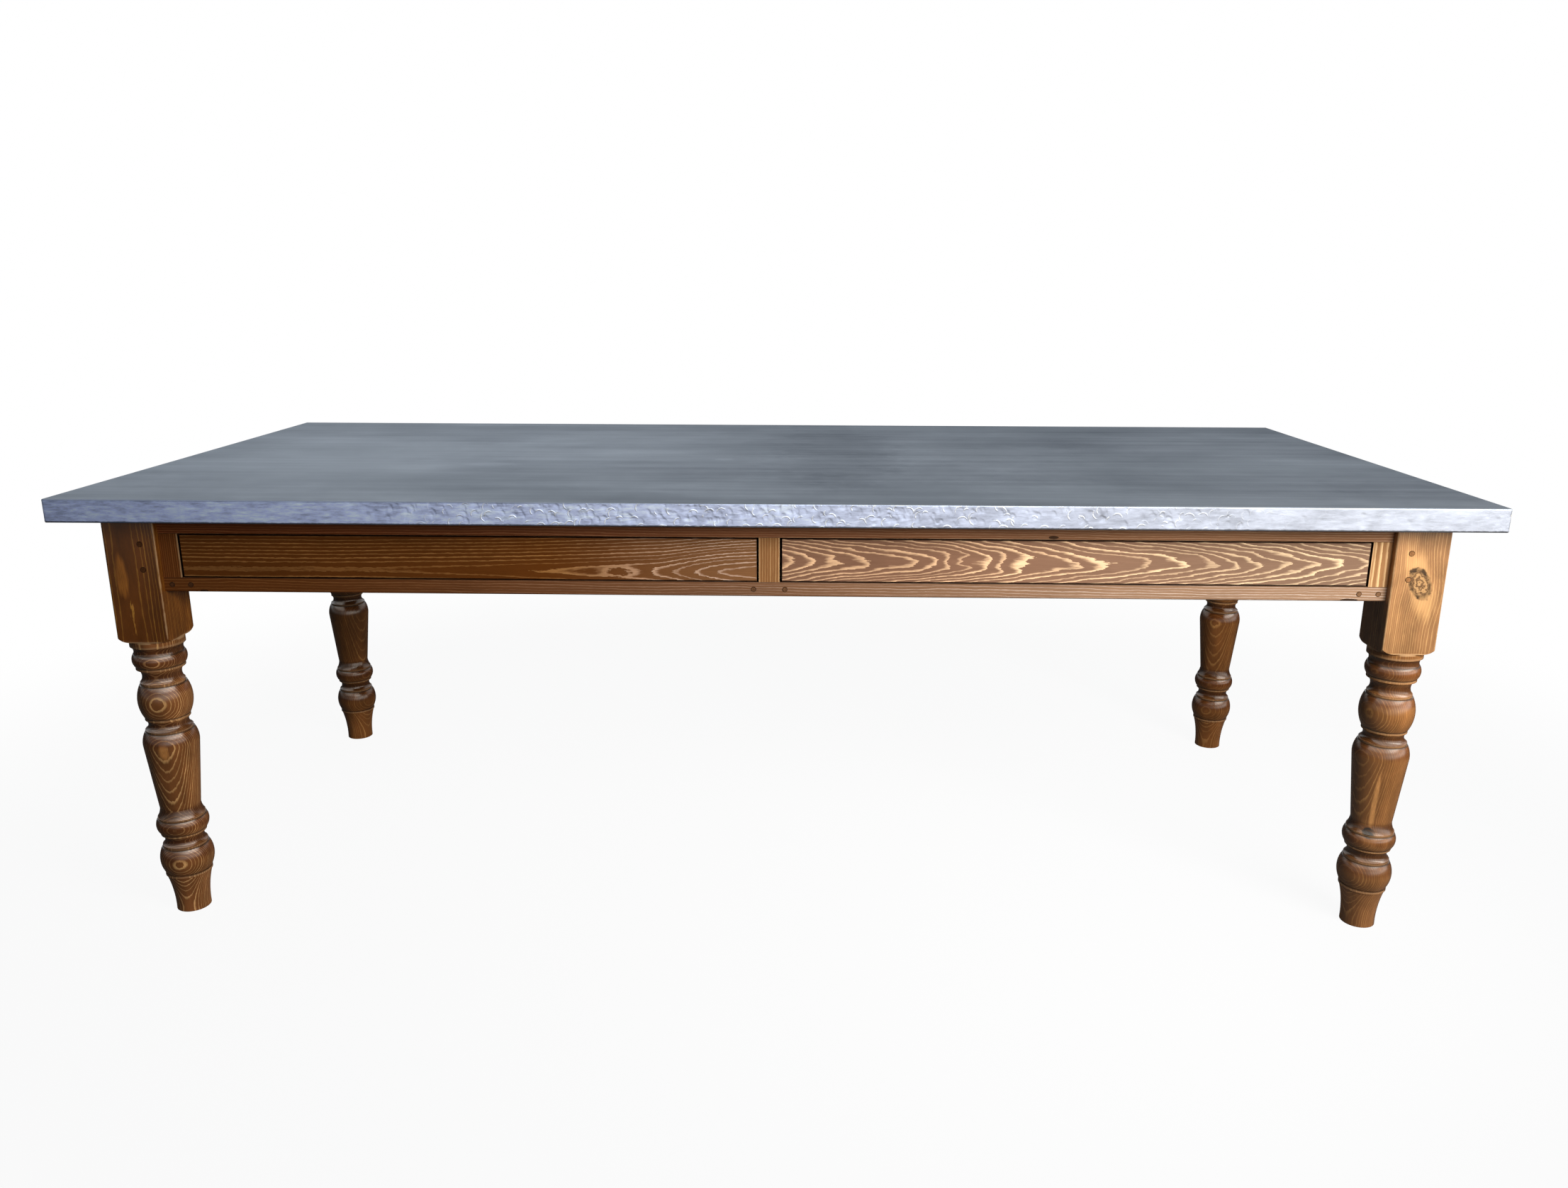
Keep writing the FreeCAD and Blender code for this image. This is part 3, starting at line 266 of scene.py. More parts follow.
def edge_bands():
    """A band along the edges of a block given by its corners, for wear with a painted highlight or, where its
    colour is dark, for painted shade. Of the distances to its three pairs of faces, the middle one is small
    only near an edge; noise breaks the band up."""
    graph, given, out = new_group("edge_bands", (
        ("Vector", "Vector", None), ("Low", "Vector", None), ("High", "Vector", None),
        ("Width", "Float", 0.003),
    ), (("Edge Band", "Float"),))
    inside = graph.vector("MINIMUM", graph.vector("SUBTRACT", given["Vector"], given["Low"]),
                          graph.vector("SUBTRACT", given["High"], given["Vector"]))
    a, b, c = graph.parts(inside)
    middle = graph.math("MAXIMUM", graph.math("MINIMUM", a, b),
                        graph.math("MINIMUM", graph.math("MAXIMUM", a, b), c))
    patchy = graph.math("MULTIPLY_ADD", graph.noise(given["Vector"], 55.0, 3.0, 0.6), 0.75, 0.85)
    reach = graph.product(given["Width"], graph.math("MAXIMUM", patchy, 0.05))
    edge_band = graph.step(graph.math("DIVIDE", middle, reach), 1.0, 0.35)
    within = graph.step(graph.math("MINIMUM", graph.math("MINIMUM", a, b), c), -0.004, -0.002)
    graph.feed(out["Edge Band"], graph.product(edge_band, within))
    return graph.tree


PINE_FIGURE = pine_figure()
KNOT = knot_in_pine()
EDGE_BANDS = edge_bands()

# How a board is turned so that its grain runs along X: by the axis along which it grows
GRAIN_TURN = {"x": (0.0, 0.0, 0.0), "y": (0.0, 0.0, -math.pi / 2), "z": (0.0, math.pi / 2, 0.0)}
# How fine the blotches of the stain are along X, Y and Z, by the same axis
STAIN_SCALE = {"x": (9.0, 30.0, 46.0), "y": (30.0, 9.0, 46.0), "z": (36.0, 36.0, 13.0)}
# Dark spots, painted shade in the gaps round the drawers, and painted shadow lines with staining in the grooves
# of the legs
DARK_SPOT, GAP_SHADE, GROOVE_STAIN_AND_SHADE = (0.015, 0.008, 0.005), (0.012, 0.006, 0.004), (0.03, 0.016, 0.010)
# Pale edges: wear with a painted highlight
RUBBED_AND_LIT_WOOD = (0.62, 0.38, 0.19)
WAX_TINT = (1.0, 0.88, 0.74, 1.0)
# Height at which the turned part of a leg ends and its square post begins: from, to
POST_BEGINS = (0.505, 0.515)


def new_material(name):
    """A material with one shader; returns it, its graph, the shader and the Object coordinates."""
    made = bpy.data.materials.new(name)
    made.use_nodes = True
    made.node_tree.nodes.clear()
    graph = Graph(made.node_tree)
    shader = graph.node("ShaderNodeBsdfPrincipled")
    graph.feed(graph.node("ShaderNodeOutputMaterial").inputs["Surface"], shader.outputs[0])
    coords = graph.node("ShaderNodeTexCoord").outputs["Object"]
    return made, graph, shader, coords


def bump(graph, shader, height, distance, strength=1.0):
    """Roughens the shader's normals by a height; distance is in metres for a height of 1."""
    made = graph.node("ShaderNodeBump")
    made.inputs["Strength"].default_value = strength
    made.inputs["Distance"].default_value = distance
    graph.feed(made.inputs["Height"], height)
    graph.feed(shader.inputs["Normal"], made.outputs[0])


def pine(name, grain, heart, ring_width, ground, line, slope=0.0, bend=0.0, start=0.0, wander=0.7, jag=0.12,
         share=0.45, seed=0.0, phase=0.0, cloudy=0.3, blotch=0.15, light_fade=None, block=None, edge_band_width=0.003,
         painted_slot_shade=False, knots=(), eyes=(), patches=(), marks=(), turned=False, post_tone_and_light=(1.0, 1.0, 1.0),
         gloss=0.42, level=0.1, relief=0.00025, edge_band=RUBBED_AND_LIT_WOOD):
    """Stained pine: dark ground, pale late wood, knots, edge bands and a wax gloss.

    heart is a point on the tree's heart; slope, bend, start, wander, jag, share and phase shape the rings as
    in pine_figure. knots are (centre, radii, lean, push), eyes bend the rings without a knot and are (centre,
    radii, push), patches are pale islands (centre, radii, colour), marks are dark spots (centre, radii). fade
    is (from x, to x), the tone at the first and the tone at the second: painted light, darker and redder in the
    shade towards the left, bluer like a sheen where the light falls towards the right. block is the corners of
    the box whose edges take the colour worn: a pale one for wear with a painted highlight, a dark one for
    painted shade. painted_slot_shade paints shade into the gaps round the drawers. turned adds the tones of a
    turned leg, with painted highlights and shade, and post_tone_and_light that of the square post above it,
    which also paints light and shade. gloss is the roughness of the wax, level how much it mirrors, relief the
    grain's height."""
    made, graph, shader, coords = new_material(name)
    turn = graph.node("ShaderNodeMapping", vector_type="POINT")
    graph.feed(turn.inputs["Vector"], coords)
    turn.inputs["Rotation"].default_value = GRAIN_TURN[grain]
    middle = {"x": heart, "y": (heart[1], -heart[0], heart[2]), "z": (heart[2], heart[1], -heart[0])}[grain]
    turn.inputs["Location"].default_value = [-value for value in middle]
    pull = phase
    placed = []
    for centre, radii, lean, push in knots:
        found = graph.place(KNOT, vector=coords, centre=Place(centre), radii=Place(radii), lean=lean)
        pull = graph.math("MULTIPLY_ADD", found["Pull"], push, pull)
        placed.append(found)
    for centre, radii, push in eyes:
        found = graph.place(KNOT, vector=coords, centre=Place(centre), radii=Place(radii))
        pull = graph.math("MULTIPLY_ADD", found["Pull"], push, pull)
    figure = graph.place(PINE_FIGURE, vector=turn.outputs[0], ring_width=ring_width, slope=slope, bend=bend,
                         start=start, wander=wander, jag=jag, pull=pull, share=share, seed=seed)
    colour = graph.blend(figure["Line"], ground, line)
    for centre, radii, pale in patches:
        found = graph.place(KNOT, vector=coords, centre=Place(centre), radii=Place(radii))
        soft = graph.product(found["Halo"], graph.math("MULTIPLY_ADD", figure["Fibre"], 0.5, 0.75))
        colour = graph.blend(soft, colour, pale)
    fibre = graph.math("MULTIPLY_ADD", figure["Fibre"], 0.2, 1.0)
    cloud = graph.math("MULTIPLY_ADD", figure["Cloud"], cloudy, fibre)
    tone_drift = graph.noise(coords, STAIN_SCALE[grain], 4.0, 0.6, (seed, 1.0, 2.0))
    cloud = graph.math("MULTIPLY_ADD", tone_drift, blotch, cloud)
    colour = graph.toned(colour, cloud)
    # Painted light along X: darker and redder where the shade falls, bluer like a sheen where the light falls
    if light_fade is not None:
        ends = graph.blend(graph.step(graph.parts(coords)[0], *light_fade[0]), *light_fade[1:])
        colour = graph.blend(1.0, colour, ends, "MULTIPLY")
    for found in placed:
        colour = graph.blend(graph.product(found["Halo"], 0.5), colour, dimmed(line, 1.4))
        heartwood = graph.blend(found["Tone"], dimmed(ground, 0.4), dimmed(line, 0.85))
        colour = graph.blend(found["Core"], colour, heartwood)
        colour = graph.blend(graph.product(found["Rim"], 0.95), colour, dimmed(ground, 0.1))
    for centre, radii in marks:
        found = graph.place(KNOT, vector=coords, centre=Place(centre), radii=Place(radii))
        colour = graph.blend(graph.product(found["Core"], 0.85), colour, DARK_SPOT)
    if turned:
        colour = turned_tone(graph, coords, colour, edge_band)
        # The square post's tone also paints light: darker on the shaded left post, paler and bluer on the lit
        # right post
        above = graph.step(graph.parts(coords)[2], *POST_BEGINS)
        colour = graph.blend(above, colour, graph.blend(1.0, colour, post_tone_and_light, "MULTIPLY"))
    # Edges of the block: pale for wear with a painted highlight, dark for painted shade
    if block is not None:
        low, high = block
        edge_tone = graph.place(EDGE_BANDS, vector=coords, low=Place(low), high=Place(high),
                             width=edge_band_width)["Edge Band"]
        colour = graph.blend(graph.product(edge_tone, 0.6), colour, edge_band)
    # Painted shade in the gaps round the drawers
    if painted_slot_shade:
        colour = graph.blend(slot_shade(graph, coords), colour, GAP_SHADE)
    graph.feed(shader.inputs["Base Color"], colour)
    smear = graph.noise(coords, 22.0, 3.0, 0.6)
    dull = graph.math("MULTIPLY_ADD", figure["Line"], -0.06, graph.math("MULTIPLY_ADD", smear, 0.09, gloss))
    graph.feed(shader.inputs["Roughness"], dull)
    shader.inputs["Specular IOR Level"].default_value = level
    shader.inputs["Specular Tint"].default_value = WAX_TINT
    height = graph.math("MULTIPLY_ADD", figure["Fibre"], 0.35, figure["Line"])
    bump(graph, shader, height, relief)
    return made


# Where the gaps round the drawers begin and end, each as a soft step: depths in Y, heights in Z
GAP_FRONT, GAP_BACK = (-0.4404, -0.4392), (-0.40, -0.42)
GAP_LOW, GAP_HIGH = (0.6175, 0.6185), (0.6945, 0.6935)


def slot_shade(graph, coords):
    """Painted shade in the gaps round the drawers: dark colour behind the front face and between the two rails.
    """
    _, y, z = graph.parts(coords)
    behind = graph.product(graph.step(y, *GAP_FRONT), graph.step(y, *GAP_BACK))
    level = graph.product(graph.step(z, *GAP_LOW), graph.step(z, *GAP_HIGH))
    return graph.product(behind, level, 0.9)


# Heights of the ring edges, hollows and grooves of the turned legs, and of the shoulders with their reach, in
# metres from the floor
RING_EDGES = (0.0725, 0.1255, 0.149, 0.179, 0.343, 0.3655, 0.4285, 0.4575, 0.4985)
HOLLOWS = (0.1365, 0.19, 0.353, 0.442, 0.489)
GROOVES = (0.075, 0.123, 0.151, 0.177, 0.341, 0.368, 0.426, 0.460, 0.482)
SHOULDERS = ((0.115, 0.017), (0.170, 0.014), (0.334, 0.018), (0.420, 0.011), (0.473, 0.013))


def near_levels(graph, height, levels, outer, inner):
    """1 within inner metres of any of the levels, falling to 0 at outer metres."""
    found = 0.0
    for level in levels:
        near = graph.math("ABSOLUTE", graph.math("SUBTRACT", height, level))
        found = graph.math("MAXIMUM", found, graph.step(near, outer, inner))
    return found


def turned_tone(graph, coords, colour, edge_band):
    """By height: pale lines of wear with a painted highlight on the ring edges, darker bands on the shoulders,
    painted shade and staining in the hollows, paler feet and painted shadow lines with staining in the grooves."""
    height = graph.parts(coords)[2]
    rough = graph.product(graph.noise(coords, 60.0, 2.0, 0.6), 0.0009)
    height = graph.math("ADD", height, rough)
    edges = near_levels(graph, height, RING_EDGES, 0.0028, 0.0006)
    hollows = near_levels(graph, height, HOLLOWS, 0.013, 0.003)
    grooves = near_levels(graph, height, GROOVES, 0.0024, 0.0004)
    shoulders = 0.0
    for level, reach in SHOULDERS:
        shoulder = near_levels(graph, height, (level,), reach, reach * 0.3)
        shoulders = graph.math("MAXIMUM", shoulders, shoulder)
    patchy = graph.math("MULTIPLY_ADD", graph.noise(coords, 30.0, 3.0, 0.6), 0.6, 0.75)
    # Darker on the shoulders
    colour = graph.blend(graph.product(shoulders, patchy), colour, (0.56, 0.44, 0.42), "MULTIPLY")
    # Painted shade and staining in the hollows
    colour = graph.blend(graph.product(hollows, 0.85), colour, (0.26, 0.2, 0.19), "MULTIPLY")
    # Ring edges: pale wear with a painted highlight
    colour = graph.blend(graph.product(edges, 0.3), colour, edge_band)
    colour = graph.blend(graph.step(height, 0.085, 0.06), colour, (1.32, 1.32, 1.4), "MULTIPLY")
    # Painted shadow lines and staining in the grooves
    return graph.blend(graph.product(grooves, 0.7), colour, GROOVE_STAIN_AND_SHADE)


# Zinc sheet of the top

TOP_LENGTH, TOP_WIDTH = 2.286, 1.016
TOP_LEVEL, TOP_UNDERSIDE = 0.762, 0.724
SHEET, FOLD, LIP, CORNER = 0.001, 0.002, 0.030, 0.003
LEAST_RADIUS = 0.0004
EDGE_ROWS = 27
DENT_DEPTH, DENT_SOFTNESS, WAVE_DEPTH = 0.00045, 0.00085, 0.00012
MARKS, MARKS_AT_ONCE, WAVES = 260, 40, 24


def sheet_loop(inset, front_points=1500, back_points=170, end_points=90, corner_points=5):
    """A rounded rectangle for each inset: straight sides shrink with the inset, and the corner arcs have the
    corner radius less the inset, down to the least radius. The points lie closest along the hammered stretch
    of the front. Returns x and y as rings by points."""
    inset = np.asarray(inset, float)[:, None]
    reach = np.maximum(inset, CORNER - LEAST_RADIUS)
    radius = np.maximum(CORNER - inset, LEAST_RADIUS)
    back_off = np.where(inset > CORNER - LEAST_RADIUS, reach + LEAST_RADIUS, CORNER)
    half_x = TOP_LENGTH / 2 - back_off
    half_y = TOP_WIDTH / 2 - back_off
    counts = (front_points, end_points, back_points, end_points)
    along = [np.linspace(-1, 1, count + 2)[1:-1] for count in counts]
    along[0] = np.interp(along[0], (-1.0, -0.78, 0.78, 1.0), (-1.0, -0.53, 0.66, 1.0))
    turn = np.linspace(0, math.pi / 2, corner_points)
    xs, ys = [], []
    for side, share in enumerate(along):
        across = np.zeros_like(share)
        flat = (np.stack([share, across - 1]), np.stack([across + 1, share]),
                np.stack([-share, across + 1]), np.stack([across - 1, -share]))[side]
        push = ((0, -1), (1, 0), (0, 1), (-1, 0))[side]
        xs.append(half_x * flat[0] + radius * push[0])
        ys.append(half_y * flat[1] + radius * push[1])
        angle = turn + (side - 1) * math.pi / 2
        middle = ((1, -1), (1, 1), (-1, 1), (-1, -1))[side]
        xs.append(half_x * middle[0] + radius * np.cos(angle))
        ys.append(half_y * middle[1] + radius * np.sin(angle))
    return np.concatenate(xs, axis=1), np.concatenate(ys, axis=1)


def hammer_marks(run, height):
    """How deep the folded edge is dented. Each mark is a round of random size whose depth rises across it from
    one rim to the other, which leaves a crescent; long soft waves are added, and the sum levels off at the
    dent depth. The marks are summed some at a time."""
    chance = np.random.default_rng(31)
    middle = np.concatenate([chance.normal(-0.02, 0.36, MARKS), chance.uniform(-1.1, 6.6, MARKS)])
    level = chance.uniform(TOP_UNDERSIDE + 0.006, TOP_LEVEL - 0.004, middle.size)
    radius = chance.uniform(0.0035, 0.0075, middle.size)
    depth = chance.uniform(0.0008, 0.0018, middle.size)
    lean = chance.normal(0.5, 0.7, middle.size)
    order = np.argsort(middle)
    deep = np.zeros_like(run)
    for first in range(0, middle.size, MARKS_AT_ONCE):
        pick = order[first:first + MARKS_AT_ONCE]
        dx = (run[..., None] - middle[pick]) / radius[pick]
        dz = (height[..., None] - level[pick]) / (radius[pick] * 1.25)
        round_part = np.clip(1 - dx ** 2 - dz ** 2, 0, 1)
        slant = 0.5 + 0.5 * np.clip(dx * np.cos(lean[pick]) + dz * np.sin(lean[pick]), -1, 1)
        deep += (depth[pick] * np.sqrt(round_part) * slant ** 3).sum(axis=-1)
    waves = chance.uniform(5, 90, WAVES)
    phase = chance.uniform(0, 2 * math.pi, WAVES)
    soft = np.cos(run[..., None] * waves + phase + height[..., None] * 60).mean(axis=-1)
    return DENT_DEPTH * np.tanh((deep + WAVE_DEPTH * (0.5 + soft)) / DENT_SOFTNESS)


def zinc_sheet():
    """The sheet's section runs from the flat top over the fold, down the edge, round the lower fold, under the
    lip and back inside one sheet thickness away. It is carried round the top. Marks dent only the outer face:
    full on the edge, less on the folds. Returns the points and the faces."""
    curl = np.linspace(0, math.pi / 2, 5)[1:-1]
    edge = np.linspace(TOP_LEVEL - FOLD, TOP_UNDERSIDE + FOLD, EDGE_ROWS)
    inset = np.concatenate([[0.03, 0.008, FOLD], FOLD * (1 - np.sin(curl)), np.zeros(EDGE_ROWS),
                            FOLD * (1 - np.cos(curl)), [FOLD, 0.012, LIP, LIP, 0.012, SHEET, SHEET]])
    level = np.concatenate([[TOP_LEVEL] * 3, TOP_LEVEL - FOLD + FOLD * np.cos(curl), edge,
                            TOP_UNDERSIDE + FOLD - FOLD * np.sin(curl), [TOP_UNDERSIDE] * 3,
                            [TOP_UNDERSIDE + SHEET] * 3, [TOP_LEVEL - SHEET]])
    x, y = sheet_loop(inset)
    outer_x, outer_y = sheet_loop([0.0])
    steps = np.hypot(np.diff(outer_x[0]), np.diff(outer_y[0]))
    run = np.concatenate([[0.0], np.cumsum(steps)]) + outer_x[0, 0]
    height = np.repeat(level[:, None], x.shape[1], axis=1)
    shares = np.concatenate([[0.25, 0.6, 0.8, 1.0], np.ones(EDGE_ROWS), [0.9, 0.7, 0.5, 0.2]])[:, None]
    outer = slice(2, 2 + len(shares))
    dented = hammer_marks(np.repeat(run[None, :], len(shares), axis=0), height[outer])
    dented *= shares
    out_x, out_y = sheet_loop([0.0, 0.01])
    inward = np.stack([out_x[1] - out_x[0], out_y[1] - out_y[0]])
    inward /= np.linalg.norm(inward, axis=0)
    x[outer] += dented * inward[0]
    y[outer] += dented * inward[1]
    height[outer][1:3] -= dented[1:3] * 0.5
    height[outer][-4:] += dented[-4:] * 0.6
    rings, around = x.shape
    points = np.stack([x, y, height], axis=-1).reshape(-1, 3)
    ring, place = np.meshgrid(np.arange(rings - 1), np.arange(around), indexing="ij")
    after = (place + 1) % around
    quads = np.stack([ring * around + place, (ring + 1) * around + place, (ring + 1) * around + after,
                      ring * around + after], axis=-1).reshape(-1, 4)
    caps = [np.arange(around), np.arange(around)[::-1] + (rings - 1) * around]
    return points, [*quads.tolist(), *[cap.tolist() for cap in caps]]


def new_piece(name, points, faces, body, slot, *stood_for):
    """A new mesh that rides a body and stands for nodes of the CAD model; slot is not used."""
    mesh = bpy.data.meshes.new(name)
    mesh.from_pydata(points, [], faces)
    mesh.validate()
    mesh.shade_smooth()
    made = bpy.data.objects.new(name, mesh)
    scene.collection.objects.link(made)
    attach(made, body)
    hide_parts(*stood_for)
    return made


def hammer_glints(graph, x, z, scale, shift):
    """Crescents of burnish and painted highlight on the front edge: one in each cell of a scatter of points,
    where the distance to the point is about the cell's own radius, on the side that faces up and to the left,
    towards the light."""
    place = graph.joined(graph.math("ADD", x, shift), z, 0.0)
    cells = graph.node("ShaderNodeTexVoronoi", voronoi_dimensions="2D")
    graph.feed(cells.inputs["Vector"], place)
    cells.inputs["Scale"].default_value = scale
    size, turn, chance = graph.parts(cells.outputs["Color"])
    off_x, off_z, _ = graph.parts(graph.vector("SUBTRACT", place, cells.outputs["Position"]))
    far = graph.length(off_x, off_z)
    gap = graph.math("SUBTRACT", far, graph.math("MULTIPLY_ADD", size, 0.0045, 0.0046))
    angle = graph.math("MULTIPLY_ADD", turn, 2.4, 1.0)
    facing = graph.math("ADD", graph.product(off_x, graph.math("COSINE", angle)),
                        graph.product(off_z, graph.math("SINE", angle)))
    facing = graph.step(graph.math("DIVIDE", facing, graph.math("MAXIMUM", far, 0.0001)), 0.25, 0.85)
    ragged = graph.product(graph.noise(place, 420.0, 2.0, 0.6), 0.0008)
    arc = graph.step(graph.math("ABSOLUTE", graph.math("ADD", gap, ragged)), 0.0013, 0.0003)
    towards_right = graph.between(graph.step(x, 0.85, 0.5), 0.1, 1.0)
    zone = graph.product(graph.step(x, -0.62, -0.45), towards_right)
    some = graph.product(graph.step(chance, 0.3, 0.5), zone)
    return graph.product(arc, facing, some)


# Stains on the flat top: x, y and half sizes in metres, and how much paler or darker
TOP_SPOTS = (
    (-0.532, -0.126, 0.055, 0.022, 0.22),
    (-0.10, -0.047, 0.02, 0.012, 0.18),
    (0.12, 0.1, 0.12, 0.5, -0.14),
    (-0.62, 0.05, 0.45, 0.3, 0.28),
    (1.1, -0.35, 0.32, 0.5, 0.22),
)
# Colours of the zinc: flat top and its warm patches, left and right end of the edge (bluer in the shade at the
# left, paler where lit at the right: tarnish with painted light), painted glints, scratches, a darker band
# along the foot of the edge, shaded fold, and the tint of its gloss
ZINC_TOP, ZINC_WARM = (0.268, 0.277, 0.289), (0.285, 0.300, 0.308)
ZINC_LEFT_SHADED, ZINC_RIGHT_LIT = (0.56, 0.64, 0.95), (0.67, 0.69, 0.76)
ZINC_GLINT, ZINC_SCRATCH = (1.0, 1.0, 1.0), (0.75, 0.78, 0.86)
ZINC_DARK_FOOT, ZINC_FOLD = (0.09, 0.095, 0.10), (0.10, 0.11, 0.14)
ZINC_TINT = (0.35, 0.38, 0.43, 1.0)
# Heights at which parts of the edge begin or end, each as a soft step
EDGE_BEGINS, FOLD_GLINT_BEGINS, FOOT_BEGINS = (0.7614, 0.7602), (0.7555, 0.7595), (0.7278, 0.7258)
FOLD_LOW, FOLD_HIGH = (0.7590, 0.7600), (0.76198, 0.7617)


def zinc_finish():
    """Patinated flat top and a bright edge polished by rubbing, told apart by the height. The top has long
    streaks, clouds and stains; the edge is scuffed, bluer in the shade at the left and paler where lit at the
    right, with painted highlights and burnish on the hammer marks, painted glints along the ragged upper fold,
    scratches and a darker foot."""
    made, graph, shader, coords = new_material("zinc")
    x, y, z = graph.parts(coords)
    edge = graph.step(z, *EDGE_BEGINS)
    streak = graph.noise(coords, (1.3, 34.0, 30.0), 3.0, 0.6)
    cloud = graph.noise(coords, (2.2, 3.4, 3.0), 3.0, 0.55)
    mottle = graph.noise(coords, 48.0, 3.0, 0.6)
    brush = graph.noise(coords, (16.0, 520.0, 30.0), 2.0, 0.5)
    value = graph.total(
        graph.math("MULTIPLY_ADD", x, -0.22, 1.0),
        graph.product(streak, 0.36),
        graph.product(cloud, 0.6),
        graph.product(mottle, 0.12),
        graph.product(brush, 0.14))
    for spot_x, spot_y, half_x, half_y, share in TOP_SPOTS:
        off = graph.joined(graph.math("MULTIPLY_ADD", x, 1 / half_x, -spot_x / half_x),
                           graph.math("MULTIPLY_ADD", y, 1 / half_y, -spot_y / half_y), 0.0)
        near = graph.step(graph.math("MULTIPLY_ADD", mottle, 0.3, graph.vector("LENGTH", off)), 1.3, 0.5)
        value = graph.math("MULTIPLY_ADD", near, share, value)
    top = graph.toned(ZINC_TOP, value)
    warm = graph.step(graph.noise(coords, (1.1, 3.0, 1.0), 2.0, 0.5, (4.0, 7.0, 1.0)), -0.1, 0.5)
    top = graph.blend(graph.product(warm, 0.4), top, ZINC_WARM)
    scuff = graph.noise(coords, (46.0, 60.0, 230.0), 3.0, 0.65)
    wipe = graph.noise(coords, (14.0, 14.0, 26.0), 3.0, 0.6)
    scuffed = graph.product(scuff, graph.between(graph.step(x, -0.3, 0.6), 0.9, 0.45))
    edge_tone = graph.product(graph.step(x, -1.1, -0.85), graph.step(x, 0.4, -0.2))
    wiped = graph.product(wipe, graph.between(graph.step(x, 0.2, 1.0), 0.5, 0.3))
    bright = graph.total(graph.math("MULTIPLY_ADD", edge_tone, 0.11, 1.0), scuffed, wiped)
    # Painted light along the edge: bluer in the shade at the left end, paler where it is lit at the right
    side = graph.blend(graph.step(x, -1.1, 1.0), ZINC_LEFT_SHADED, ZINC_RIGHT_LIT)
    side = graph.toned(side, bright)
    # Painted highlights and burnish on the hammer marks
    glint_arcs = graph.math("MAXIMUM", hammer_glints(graph, x, z, 46.0, 0.0), hammer_glints(graph, x, z, 52.0, 3.37))
    side = graph.blend(graph.product(glint_arcs, 0.9), side, ZINC_GLINT)
    # Painted glints along the ragged upper fold
    fold_glints = graph.step(graph.noise(coords, (170.0, 1.0, 240.0), 3.0, 0.65), 0.15, 0.4)
    fold_glints = graph.product(fold_glints, graph.step(z, *FOLD_GLINT_BEGINS))
    stretch = graph.product(graph.step(x, -0.5, -0.1), graph.step(x, 0.5, 0.2))
    fold_glints = graph.product(fold_glints, stretch)
    side = graph.blend(graph.product(fold_glints, 0.8), side, ZINC_GLINT)
    scratch = graph.step(graph.noise(coords, (30.0, 40.0, 800.0), 2.0, 0.5), 0.3, 0.65)
    side = graph.blend(graph.product(scratch, 0.35), side, ZINC_SCRATCH)
    # A darker band along the foot of the edge
    rag = graph.product(graph.noise(coords, 110.0, 2.0, 0.6), 0.0014)
    foot = graph.step(graph.math("ADD", z, rag), *FOOT_BEGINS)
    side = graph.blend(graph.product(foot, 0.75), side, ZINC_DARK_FOOT)
    fold = graph.product(graph.step(z, *FOLD_LOW), graph.step(z, *FOLD_HIGH))
    fold = graph.product(fold, graph.product(graph.step(x, 0.3, -0.5), 0.8))
    colour = graph.blend(fold, graph.blend(edge, top, side), ZINC_FOLD)
    graph.feed(shader.inputs["Base Color"], colour)
    graph.feed(shader.inputs["Metallic"], graph.between(edge, 0.85, 0.8))
    rough = graph.math("MULTIPLY_ADD", mottle, 0.05, graph.math("MULTIPLY_ADD", cloud, 0.08, 0.46))
    edge_rough = graph.math("MULTIPLY_ADD", wipe, 0.06, 0.3)
    graph.feed(shader.inputs["Roughness"], graph.between(edge, rough, edge_rough))
    shader.inputs["Specular Tint"].default_value = ZINC_TINT
    relief = graph.math("MULTIPLY_ADD", scuff, 0.25, graph.product(mottle, 0.7))
    relief = graph.math("MULTIPLY_ADD", graph.product(glint_arcs, edge), 1.6, relief)
    bump(graph, shader, relief, 0.0002, 0.6)
    return made


def plain_pine(name, grain, heart, seed):
    """Unstained pine of the hidden boards, with honey-coloured late wood."""
    return pine(name, grain, heart, 0.0035, (0.62, 0.44, 0.24), (0.47, 0.27, 0.11), slope=4.0, wander=1.1,
                share=0.4, seed=seed, blotch=0.0, gloss=0.6)


# Dark line round the end of each peg and dowel
PEG_RIM = (0.02, 0.008, 0.004)


